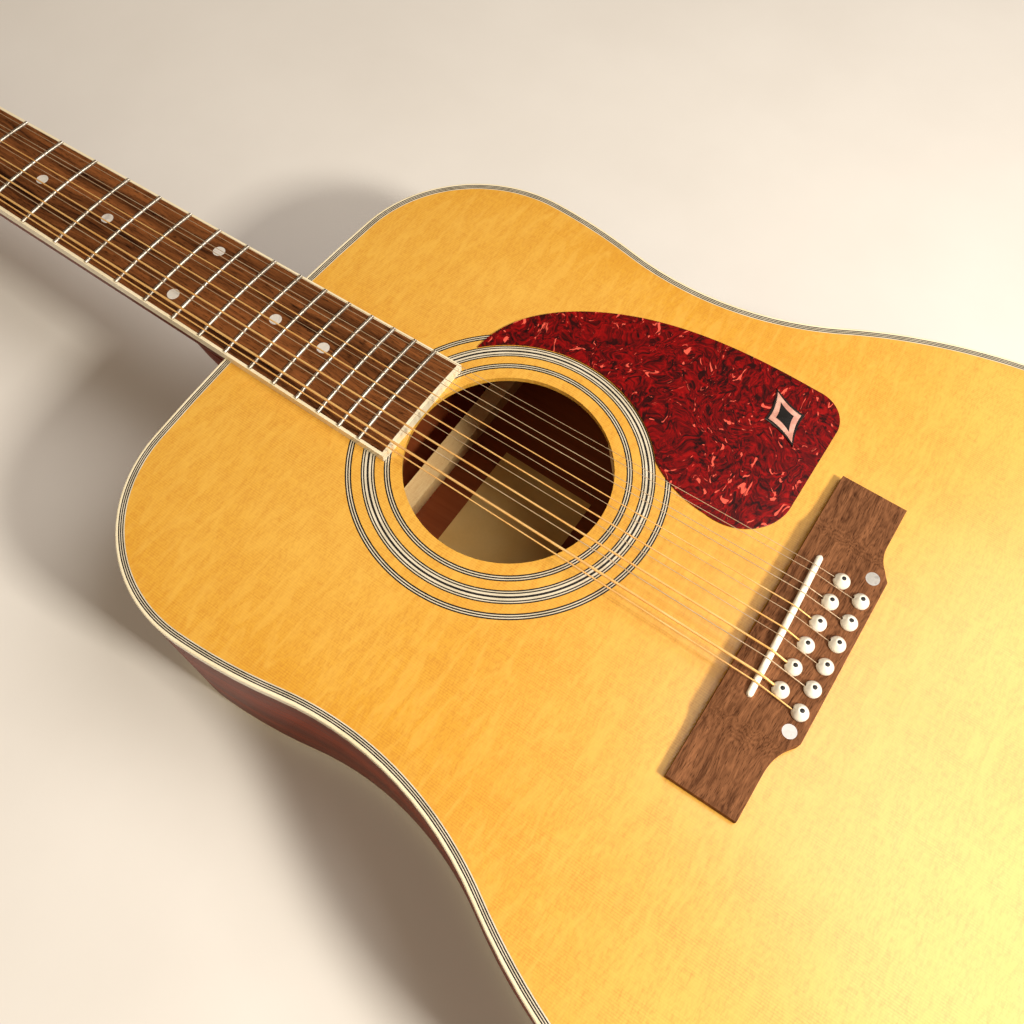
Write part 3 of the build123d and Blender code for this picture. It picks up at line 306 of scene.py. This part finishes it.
def make_plastic(name, dark, light, roughness, coat=0.6, scale=90.0, grit=0.06):
    """Moulded or polished plastic with a slow tint change and fine surface grit."""
    f = Finish(name, coat_weight=coat, coat_roughness=0.08)
    tint = f.noise(scale, None, 4.0)
    scuffs = f.noise(1400.0, None, 3.0)
    f.set(
        base_color=f.mix(f.ramp(tint, (0.35, 0.0), (0.65, 1.0)), dark, light),
        roughness=f.between(scuffs, roughness - 0.05, roughness + 0.08),
    )
    f.bump(scuffs, grit, 0.0001)
    return f.material


def make_pearl(name, painted_shade):
    """Mother of pearl: pale folds with faint green, rose and grey, darkened towards black by a factor of
    painted shade.
    """
    f = Finish(name, roughness=0.22, coat_weight=1.0, coat_roughness=0.05)
    fold = f.noise(140.0, None, 3.0, 0.5, 2.0)
    base = f.ramp(
        fold,
        (0.30, srgb(192, 186, 180)),
        (0.45, srgb(226, 220, 210)),
        (0.55, srgb(214, 212, 204)),
        (0.68, srgb(234, 220, 212)),
    )
    f.set(base_color=f.mix(painted_shade, base, (0.0, 0.0, 0.0, 1.0)))
    f.bump(fold, 0.08, 0.0002)
    return f.material


def make_metal(name, dark, light, roughness, brush=(40.0, 40.0, 900.0), metallic=1.0):
    """Plated or drawn metal with fine brushing and slow tarnish."""
    f = Finish(name, metallic=metallic)
    brushed = f.noise(1.0, f.spread(brush), 4.0)
    tarnish = f.noise(55.0, None, 3.0)
    f.set(
        base_color=f.mix(f.ramp(tarnish, (0.35, 0.0), (0.7, 1.0)), dark, light),
        roughness=f.between(f.math("MULTIPLY", brushed, tarnish), roughness - 0.06, roughness + 0.16),
    )
    f.bump(brushed, 0.05, 0.0001)
    return f.material


def make_wound():
    """Bronze winding: fine turns round the string, seen as close rings."""
    f = Finish("bronze_winding", metallic=0.5, specular=0.4)
    turns = f.wave(WINDING_WAVE, f.vector(f.y, f.x, f.z))
    tarnish = f.noise(80.0, None, 3.0)
    f.set(
        base_color=f.mix(f.ramp(tarnish, (0.3, 0.0), (0.7, 1.0)), srgb(246, 188, 108), srgb(255, 214, 142)),
        roughness=f.between(turns, 0.38, 0.52),
    )
    f.bump(turns, 0.25, 0.0001)
    return f.material


def make_paper():
    """Warm plain label paper with faint fibres and stains."""
    f = Finish("label_paper_blank", roughness=0.85)
    fibre = f.noise(700.0, None, 4.0, 0.6)
    stain = f.noise(22.0, None, 3.0)
    sheet = f.mix(f.ramp(stain, (0.35, 0.0), (0.7, 1.0)), srgb(238, 188, 104), srgb(250, 210, 132))
    f.set(base_color=f.mix(f.between(fibre, 0.0, 0.12), sheet, srgb(120, 90, 50), "MULTIPLY"))
    f.bump(fibre, 0.15, 0.0001)
    return f.material


def make_floor():
    """Plain pale studio floor."""
    f = Finish("studio_floor", roughness=0.75)
    mottle = f.noise(9.0, None, 4.0)
    f.set(base_color=f.mix(mottle, srgb(219, 215, 208), srgb(231, 228, 222)))
    f.bump(f.noise(420.0, None, 3.0), 0.06, 0.0005)
    return f.material


spruce = make_spruce("spruce_face", srgb(219, 158, 34), srgb(231, 181, 76), srgb(184, 108, 24), 0.29, 0.9)
brace_wood = make_spruce(
    "spruce_stick", srgb(248, 206, 140), srgb(254, 224, 164), srgb(222, 168, 102), 0.2, 0.0
)
MAHOGANY = srgb(76, 18, 6), srgb(144, 50, 16), srgb(42, 10, 4)
SANDED = srgb(158, 84, 46)
mahogany_sides = make_wood(
    "mahogany_sides", MAHOGANY, (40.0, 7.0, 260.0), (500.0, 40.0, 1500.0), 0.40, 0.12, SANDED, depth=0.1
)
mahogany_back = make_wood(
    "mahogany_back", MAHOGANY, (230.0, 9.0, 60.0), (1500.0, 60.0, 400.0), 0.40, 0.12, SANDED, depth=0.1
)
mahogany_neck = make_wood(
    "mahogany_neck", MAHOGANY, (160.0, 7.0, 160.0), (900.0, 45.0, 900.0), 0.40, 0.2, depth=0.1
)
mahogany_bare = make_wood(
    "mahogany_bare",
    (srgb(150, 92, 54), srgb(190, 126, 80), srgb(90, 48, 26)),
    (120.0, 12.0, 160.0), (900.0, 50.0, 900.0), 0.62,
)
board_wood = make_wood(
    "rosewood_board",
    (srgb(42, 20, 10), srgb(142, 86, 46), srgb(16, 6, 3)),
    (680.0, 30.0, 200.0), (2000.0, 190.0, 900.0), 0.5,
)
bridge_wood = make_wood(
    "rosewood_bridge",
    (srgb(74, 44, 27), srgb(148, 99, 66), srgb(42, 21, 11)),
    (90.0, 1400.0, 1100.0), (260.0, 2900.0, 1800.0), 0.58, layers=0.25,
)
veneer = make_wood(
    "black_veneer_gloss",
    (srgb(14, 9, 8), srgb(30, 19, 16), srgb(6, 4, 4)),
    (300.0, 10.0, 100.0), (1500.0, 60.0, 400.0), 0.35, 0.9,
)
tortoise = make_tortoise()
ivory = make_plastic("ivory_edge", srgb(236, 222, 184), srgb(246, 234, 202), 0.30, scale=30.0)
line_black = make_plastic("line_black", srgb(14, 11, 10), srgb(26, 20, 18), 0.35)
line_white = make_plastic("line_white", srgb(206, 194, 166), srgb(226, 215, 190), 0.35)
pin_ivory = make_plastic("pin_ivory", srgb(250, 243, 222), srgb(255, 251, 238), 0.30)
black_plastic = make_plastic("black_gloss", srgb(12, 12, 13), srgb(24, 24, 25), 0.22, 1.0)
dot_black = make_plastic("dot_black", srgb(10, 9, 9), srgb(18, 16, 16), 0.5, 0.0)
bone = make_plastic("bone_polished", srgb(248, 240, 216), srgb(255, 250, 234), 0.36, 0.3, 260.0)
salmon = make_plastic("salmon_pearl", srgb(196, 136, 120), srgb(228, 178, 160), 0.25, 1.0, 220.0)
# the same pearl twice: the bridge's copy carries painted shade half way to black, the board's copy only a
# little
board_pearl = make_pearl("pearl_board", 0.08)
bridge_pearl = make_pearl("pearl_bridge", 0.5)
nickel = make_metal("nickel_bright", srgb(172, 168, 160), srgb(206, 203, 196), 0.17)
fret_metal = make_metal(
    "fret_silver", srgb(176, 168, 152), srgb(208, 200, 186), 0.30, (60.0, 900.0, 60.0), 0.9,
)
chrome = make_metal("tuner_chrome", srgb(188, 187, 184), srgb(216, 215, 212), 0.09)
steel = make_metal("steel_satin", srgb(140, 139, 137), srgb(176, 175, 172), 0.30)
plain_wire = make_metal(
    "plain_wire", srgb(204, 178, 142), srgb(232, 210, 176), 0.42, (60.0, 60.0, 60.0), 0.6,
)
bronze = make_wound()
paper = make_paper()

FINISHES = {
    "soundboard": spruce,
    "top_braces": brace_wood,
    "back_braces": brace_wood,
    "back": mahogany_back,
    "rim_bass": mahogany_sides,
    "rim_treble": mahogany_sides,
    "neck": mahogany_neck,
    "neck_block": mahogany_bare,
    "tail_block": mahogany_bare,
    "linings": mahogany_bare,
    "bridge_plate": board_wood,
    "bridge": bridge_wood,
    "fingerboard": board_wood,
    "headstock_veneer": veneer,
    "label": paper,
    "top_binding": ivory,
    "back_binding": ivory,
    "fingerboard_binding": ivory,
    "heel_cap": ivory,
    "top_purfling": line_white,
    "rosette": line_white,
    "pickguard": tortoise,
    "pickguard_ornament": black_plastic,
    "saddle": bone,
    "nut": bone,
    "bridge_pins": pin_ivory,
    "strap_button": pin_ivory,
    "bridge_pearl_dots": bridge_pearl,
    "position_markers": board_pearl,
    "screws_and_bolts": steel,
    "truss_rod": steel,
    "truss_rod_cover": black_plastic,
    "frets": fret_metal,
    "strings_wound": bronze,
    "strings_plain": plain_wire,
    "tuner_strips": nickel,
}
for name, node in nodes.items():
    finish = FINISHES.get(name) or (chrome if name.startswith("tuner_knob") else nickel)
    for held in node.material_slots:
        held.material = finish


# ================================================================ mesh helpers
def new_piece(name, mesh, material, body="root", smooth_angle=35):
    """Puts a finished mesh, already in the row frame, into the scene as a piece on a CAD body."""
    mesh.materials.append(material)
    mesh.shade_smooth()
    mesh.set_sharp_from_angle(angle=radians(smooth_angle))
    piece = bpy.data.objects.new(name, mesh)
    bpy.context.scene.collection.objects.link(piece)
    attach(piece, body)
    return piece


def mesh_of(name, points, faces, place=top):
    """A mesh from points in mm on the soundboard's frame, or another, with its faces turned outwards."""
    mesh = bpy.data.meshes.new(name)
    mesh.from_pydata([place @ Vector(p) for p in points], [], faces)
    work = bmesh.new()
    work.from_mesh(mesh)
    bmesh.ops.recalc_face_normals(work, faces=work.faces)
    work.to_mesh(mesh)
    work.free()
    return mesh


def add_band(points, faces, inner, outer, low, high):
    """A closed ring of rectangular section between two matching loops of (u, v) points."""
    start, count = len(points), len(inner)
    for loop, w in ((outer, low), (outer, high), (inner, high), (inner, low)):
        points += [(u, v, w) for u, v in loop]
    for side in range(4):
        for i in range(count):
            j = (i + 1) % count
            a, b = start + side * count, start + (side + 1) % 4 * count
            faces.append((a + i, b + i, b + j, a + j))


def add_lathe(points, faces, profile, spot, segments=48, shape=None):
    """A turned solid on the axis at spot, from (radius, height) pairs, closed at both ends."""
    start = len(points)
    u0, v0, w0 = spot
    for r, h in profile:
        for k in range(segments):
            angle = 2 * pi * k / segments
            radius = shape(r, h, angle) if shape else r
            points.append((u0 + radius * cos(angle), v0 + radius * sin(angle), w0 + h))
    for row in range(len(profile) - 1):
        for k in range(segments):
            a, b = start + row * segments, start + (row + 1) * segments
            j = (k + 1) % segments
            faces.append((a + k, a + j, b + j, b + k))
    faces.append([start + k for k in reversed(range(segments))])
    faces.append([start + (len(profile) - 1) * segments + k for k in range(segments)])


def loft(name, loops):
    """A closed mesh through matching loops of (u, v, w) points, capped at both ends."""
    points = [point for loop in loops for point in loop]
    count = len(loops[0])
    faces = []
    for row in range(len(loops) - 1):
        for i in range(count):
            a, b, j = row * count, (row + 1) * count, (i + 1) % count
            faces.append((a + i, a + j, b + j, b + i))
    faces.append(list(reversed(range(count))))
    faces.append([(len(loops) - 1) * count + i for i in range(count)])
    return mesh_of(name, points, faces)


def eased(node_name, name, material, width, segments=3, angle=40):
    """A copy of a CAD node with its sharp edges rounded, standing in for the node."""
    mesh = nodes[node_name].data.copy()
    mesh.materials.clear()
    work = bmesh.new()
    work.from_mesh(mesh)
    bmesh.ops.remove_doubles(work, verts=work.verts, dist=1e-6)
    bmesh.ops.dissolve_limit(work, angle_limit=radians(0.6), verts=work.verts, edges=work.edges)
    bmesh.ops.recalc_face_normals(work, faces=work.faces)
    work.to_mesh(mesh)
    work.free()
    if "custom_normal" in mesh.attributes:
        mesh.attributes.remove(mesh.attributes["custom_normal"])
    piece = new_piece(name, mesh, material)
    rounding = piece.modifiers.new("rounding", "BEVEL")
    rounding.width = width * 0.001
    rounding.segments = segments
    rounding.limit_method = "ANGLE"
    rounding.angle_limit = radians(angle)
    rounding.harden_normals = True
    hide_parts(node_name)
    return piece


# ================================================================ edge lines and rosette
def outline(inset, step=1.5):
    """Points round the body's edge, moved in by inset, along its tangent arcs."""
    u, v, heading = 0.0, NECK_END - inset, 0.0
    half = [(u, v)]
    for radius, turn in BODY_ARCS:
        side = 1 if turn > 0 else -1
        r = radius - side * inset
        cu, cv = u + side * r * sin(heading), v - side * r * cos(heading)
        steps = ceil(abs(turn) / step)
        for k in range(1, steps + 1):
            h = heading - radians(turn) * k / steps
            half.append((cu - side * r * sin(h), cv + side * r * cos(h)))
        heading -= radians(turn)
        u, v = half[-1]
    # the last arc has its centre on the centreline
    rest = radians(180) + heading
    r = u / sin(rest)
    cv = v + r * cos(rest)
    steps = ceil(degrees(rest) / step)
    for k in range(1, steps + 1):
        a = rest * (1 - k / steps)
        half.append((r * sin(a), cv - r * cos(a)))
    return half + [(-u, v) for u, v in reversed(half[1:-1])]


def circle(radius, steps=240):
    """Points round the sound hole's centre."""
    angles = [2 * pi * k / steps for k in range(steps)]
    return [(radius * cos(a), HOLE_V + radius * sin(a)) for a in angles]


def lines(start, pattern):
    """(colour, near, far) for each line of a pattern of (colour, width)."""
    found = []
    for colour, width in pattern:
        found.append((colour, start, start + width))
        start += width
    return found


def stripes(count, span):
    """count black and white lines over span, black first, the black ones half as wide again."""
    white = span / (count + 0.5 * (count + 1) / 2)
    return [("white", white) if k % 2 else ("black", 1.5 * white) for k in range(count)]


def line_pieces(label, rows, loop, depth, node):
    """One piece for the black lines and one for the white."""
    for colour, material in (("black", line_black), ("white", line_white)):
        points, faces = [], []
        for kind, near, far in rows:
            if kind == colour:
                add_band(points, faces, loop(near), loop(far), -depth, 0.0)
        piece = new_piece(f"{label}_{colour}", mesh_of(label, points, faces), material)
        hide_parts(node)


edge_lines = stripes(5, EDGE_W - EDGE_LAST_LINE - BINDING_W) + [("white", EDGE_LAST_LINE)]
edge_rows = lines(BINDING_W, edge_lines)
line_pieces("purfling", [(k, f, n) for k, n, f in edge_rows], outline, PURFLING_H, "top_purfling")

rosette_rows = lines(SIDE_RINGS_R[0], stripes(5, SIDE_RING_W))
rosette_rows += lines(MIDDLE_RING_R, MIDDLE_RING_EDGE + MIDDLE_RING_CORE + MIDDLE_RING_EDGE)
rosette_rows += lines(SIDE_RINGS_R[1], stripes(5, SIDE_RING_W))
line_pieces("rosette", rosette_rows, circle, ROSETTE_DEPTH, "rosette")


# ================================================================ bridge, pins and saddle
PIN_PROFILE = [
    (PIN_R, PIN_BOTTOM - BRIDGE_T), (PIN_R, -0.3), (3.1, 0.0), (3.55, 0.05), (3.74, 0.3), (3.75, 0.8),
    (3.62, 1.3), (3.3, 1.9), (2.75, 2.65), (2.1, 3.35), (1.6, 3.75), (1.25, 3.9), (1.05, 3.88), (0.98, 3.6),
]
DOT_PROFILE = [(0.97, 3.5), (0.97, 3.8), (0.8, 3.92), (0.4, 3.97), (0.1, 3.98)]


def string_groove(r, h, angle):
    """Pulls the front of a pin in, up to its head, where the string leaves it."""
    off_front = abs(atan2(sin(angle - pi / 2), cos(angle - pi / 2)))
    in_groove = off_front < radians(PIN_GROOVE_TURN) and h < PIN_GROOVE_TOP
    return min(r, PIN_GROOVE_R) if in_groove else r


pin_points, pin_faces, dot_points, dot_faces = [], [], [], []
for v, shift in PIN_ROWS:
    for i in range(6):
        spot = (shift + (i - 2.5) * PIN_PITCH, v, BRIDGE_T)
        add_lathe(pin_points, pin_faces, PIN_PROFILE, spot, 48, string_groove)
        add_lathe(dot_points, dot_faces, DOT_PROFILE, spot, 24)
pins = new_piece("pins_turned", mesh_of("pins", pin_points, pin_faces), pin_ivory)
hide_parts("bridge_pins")
new_piece("bridge_pin_dots", mesh_of("pin_dots", dot_points, dot_faces), dot_black)


def string_u(n):
    """Sideways place over the saddle of string n, 0 to 11 from the bass side."""
    course, second = divmod(n, 2)
    return (course - 2.5) * COURSE_PITCH_SADDLE + (second - 0.5) * PAIR_GAP_SADDLE


def slanted(along, across):
    """A place on the saddle, from its middle, as (u, v)."""
    a = radians(SADDLE_SLANT)
    return along * cos(a) - across * sin(a), SADDLE_V + along * sin(a) + across * cos(a)


def saddle_section(along):
    """Section of the saddle: (across, height) pairs, notched under each string."""
    end = max(SADDLE_LENGTH / 2 - abs(along), 0.05)
    half = SADDLE_W / 2
    half_w = sqrt(half**2 - (half - end) ** 2) if end < half else half
    spots = [string_u(n) for n in range(12)]
    nearest = min(range(12), key=lambda n: abs(spots[n] - along))
    lean = (SADDLE_LEAN if nearest % 2 == 0 else -SADDLE_LEAN) * half_w / half
    groove = NOTCH_DEPTH * max(0.0, 1 - abs(spots[nearest] - along) / NOTCH_HALF_W)
    crown = SADDLE_TOP - along**2 / (2 * CROWN_R) + SADDLE_RISE
    crest = crown - groove - SADDLE_END_DROP * (1 - half_w / half)
    section = [(-half_w, SADDLE_BOTTOM), (half_w, SADDLE_BOTTOM), (half_w, crest - 0.9)]
    section += [(half_w * 0.75 + lean * 0.25, crest - 0.35), (half_w * 0.3 + lean * 0.7, crest - 0.04)]
    section += [(-half_w * 0.3 + lean * 0.7, crest - 0.04), (-half_w * 0.75 + lean * 0.25, crest - 0.35)]
    return section + [(-half_w, crest - 0.9)]


saddle_loops = []
for k in range(SADDLE_STEPS + 1):
    spot = (k / SADDLE_STEPS - 0.5) * (SADDLE_LENGTH - 0.1)
    saddle_loops.append([(*slanted(spot, across), w) for across, w in saddle_section(spot)])
saddle = new_piece("saddle_notched", loft("saddle", saddle_loops), bone, smooth_angle=50)
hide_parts("saddle")

eased("bridge", "bridge_eased", bridge_wood, 0.45)


# ================================================================ pickguard, its ornament, and the rod cover
def lozenge(length, width, steps=12):
    """A concave four-pointed lozenge turned on the guard, as (u, v) points."""
    tips = [(-length / 2, 0), (0, width / 2), (length / 2, 0), (0, -width / 2)]
    points = []
    for (x0, y0), (x1, y1) in zip(tips, tips[1:] + tips[:1]):
        cx, cy = ORNAMENT_BOW * (x0 + x1), ORNAMENT_BOW * (y0 + y1)
        for k in range(steps):
            t = k / steps
            x = (1 - t) ** 2 * x0 + 2 * t * (1 - t) * cx + t * t * x1
            y = (1 - t) ** 2 * y0 + 2 * t * (1 - t) * cy + t * t * y1
            points.append((x, y))
    a = radians(ORNAMENT_TURN)
    u0, v0 = ORNAMENT_SPOT
    return [(u0 + x * cos(a) - y * sin(a), v0 + x * sin(a) + y * cos(a)) for x, y in points]


def plate(name, loops, material):
    """A plate lofted up through matching loops of ((u, v) points, height)."""
    mesh = loft(name, [[(u, v, w) for u, v in loop] for loop, w in loops])
    return new_piece(name, mesh, material)


eased("pickguard", "pickguard_polished", tortoise, 0.3)
eased("truss_rod_cover", "rod_cover_eased", black_plastic, 0.5)

rim = [(lozenge(34, 20), 0.8), (lozenge(34, 20), 1.3), (lozenge(33, 19.2), 1.6), (lozenge(30, 17), 1.6)]
rim += [(lozenge(29, 16.2), 1.35)]
ornament = plate("ornament_rim", rim, black_plastic)
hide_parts("pickguard_ornament")
inlay = [(lozenge(29, 16.2), 1.3), (lozenge(29, 16.2), 1.42), (lozenge(27, 14.8), 1.5)]
plate("ornament_inlay", inlay, salmon)
centre = [(lozenge(17, 9), 1.45), (lozenge(17, 9), 1.56), (lozenge(15.5, 8), 1.6)]
plate("ornament_centre", centre, black_plastic)


# ================================================================ string ends at the posts
def add_tube(points, faces, path, radius, segments=10):
    """A round bar along path, a list of Vectors, closed at both ends."""
    start = len(points)
    side = None
    for k, spot in enumerate(path):
        ahead = (path[min(k + 1, len(path) - 1)] - path[max(k - 1, 0)]).normalized()
        side = (side or ahead.orthogonal()).cross(ahead).cross(ahead).normalized() * -1
        other = ahead.cross(side)
        for j in range(segments):
            a = 2 * pi * j / segments
            points.append(spot + radius * (cos(a) * side + sin(a) * other))
    for k in range(len(path) - 1):
        for j in range(segments):
            a, b, n = start + k * segments, start + (k + 1) * segments, (j + 1) % segments
            faces.append((a + j, a + n, b + n, b + j))
    faces.append([start + j for j in reversed(range(segments))])
    faces.append([start + (len(path) - 1) * segments + j for j in range(segments)])


def post_spot(n):
    """Side (-1 bass, 1 treble) and place along the headstock of the post of string n."""
    row = n if n < 6 else 11 - n
    return (-1 if n < 6 else 1), POST_START + POST_PITCH * row


def winding(n):
    """Turns of string n round its post, down from where it arrives, in the headstock's frame."""
    side, s = post_spot(n)
    d = STRING_D[n]
    turns = min(MOST_WRAPS, int((WRAP_T - COLLAR_T) / (d * WRAP_SPACING)) - 1)
    r = POST_R + WRAP_GAP + d / 2
    path = []
    for k in range(turns * WRAP_STEPS + 1):
        angle = 2 * pi * k / WRAP_STEPS
        drop = d * WRAP_SPACING * (1 + angle / (2 * pi))
        path.append(Vector((side * (POST_U - r * cos(angle)), s + r * sin(angle), WRAP_T - drop)))
    return path


def tail(n):
    """The end of string n, through the hole in its post and cut short outside it."""
    side, s = post_spot(n)
    t = WRAP_T + TAIL_ABOVE_WRAP
    reach = POST_R + TAIL_OUT
    ends = [(-POST_R - 0.3, -0.1), (0, 0), (POST_R, 0), (reach - 1, 0.25), (reach, 0.6)]
    return [Vector((side * (POST_U + along), s, t + rise)) for along, rise in ends]


for label, members, material, slot in (
    ("wound", WOUND, bronze, "bronze_wound"),
    ("plain", [n for n in range(12) if n not in WOUND], plain_wire, "steel_string"),
):
    points, faces = [], []
    for n in members:
        add_tube(points, faces, winding(n), STRING_D[n] / 2)
        stub_points, stub_faces = [], []
        add_tube(stub_points, stub_faces, tail(n), min(STRING_D[n] / 2, TAIL_R_MAX))
        stub = mesh_of(f"tail_{n + 1}", stub_points, stub_faces, head)
        new_piece(f"string_tail_{n + 1}", stub, material, f"post_{n + 1}")
    new_piece(f"windings_{label}", mesh_of(f"windings_{label}", points, faces, head), material)

# ================================================================ stage, lights and camera
FLOOR_REACH = 12.0
floor_mesh = bpy.data.meshes.new("floor")
corners = [(-1, -1), (1, -1), (1, 1), (-1, 1)]
floor_mesh.from_pydata([(x * FLOOR_REACH, y * FLOOR_REACH, 0.0) for x, y in corners], [], [(0, 1, 2, 3)])
floor_mesh.materials.append(make_floor())
floor = bpy.data.objects.new("floor", floor_mesh)
bpy.context.scene.collection.objects.link(floor)


def area_light(name, target, towards, distance, size, power, colour):
    """A square lamp that faces target from the direction towards."""
    data = bpy.data.lights.new(name, "AREA")
    data.size = size
    data.energy = power
    data.color = colour
    lamp = bpy.data.objects.new(name, data)
    direction = Vector(towards).normalized()
    lamp.location = Vector(target) + direction * distance
    lamp.rotation_euler = direction.to_track_quat("Z", "Y").to_euler()
    bpy.context.scene.collection.objects.link(lamp)


area_light(
    "key", target=(0.0, -0.05, 0.1), towards=(-0.06, -0.69, 0.72),
    distance=1.05, size=0.17, power=15.0, colour=(1.0, 0.93, 0.82),
)
area_light(
    "sheen", target=(-0.02, -0.14, 0.11), towards=(0.36, -0.25, 0.90),
    distance=1.8, size=1.0, power=19.0, colour=(1.0, 0.94, 0.90),
)
area_light(
    "fill", target=(0.0, 0.1, 0.1), towards=(-0.70, 0.10, 0.70),
    distance=2.2, size=1.6, power=9.0, colour=(1.0, 0.82, 0.60),
)

world = bpy.data.worlds.new("studio")
world.use_nodes = True
world.node_tree.nodes["Background"].inputs["Color"].default_value = (1.0, 0.80, 0.60, 1.0)
world.node_tree.nodes["Background"].inputs["Strength"].default_value = 0.20
bpy.context.scene.world = world

# the photograph's viewpoint, worked out from the frets' spacing
CAMERA_PLACE = Vector((-0.18127, 0.00296, 0.49670))
CAMERA_AHEAD = Vector((0.37667, 0.20025, -0.90444))
CAMERA_RIGHT = Vector((0.56164, -0.82580, 0.05107))
LENS = 32.97
camera_data = bpy.data.cameras.new("camera")
camera_data.lens = LENS
camera_data.sensor_width = 36.0
camera_data.clip_start = 0.01
camera = bpy.data.objects.new("camera", camera_data)
camera_up = CAMERA_RIGHT.cross(CAMERA_AHEAD)
turn = Matrix((CAMERA_RIGHT, camera_up, -CAMERA_AHEAD)).transposed()
camera.matrix_world = Matrix.Translation(CAMERA_PLACE) @ turn.to_4x4()
bpy.context.scene.collection.objects.link(camera)
bpy.context.scene.camera = camera
bpy.context.scene.view_settings.view_transform = "Standard"
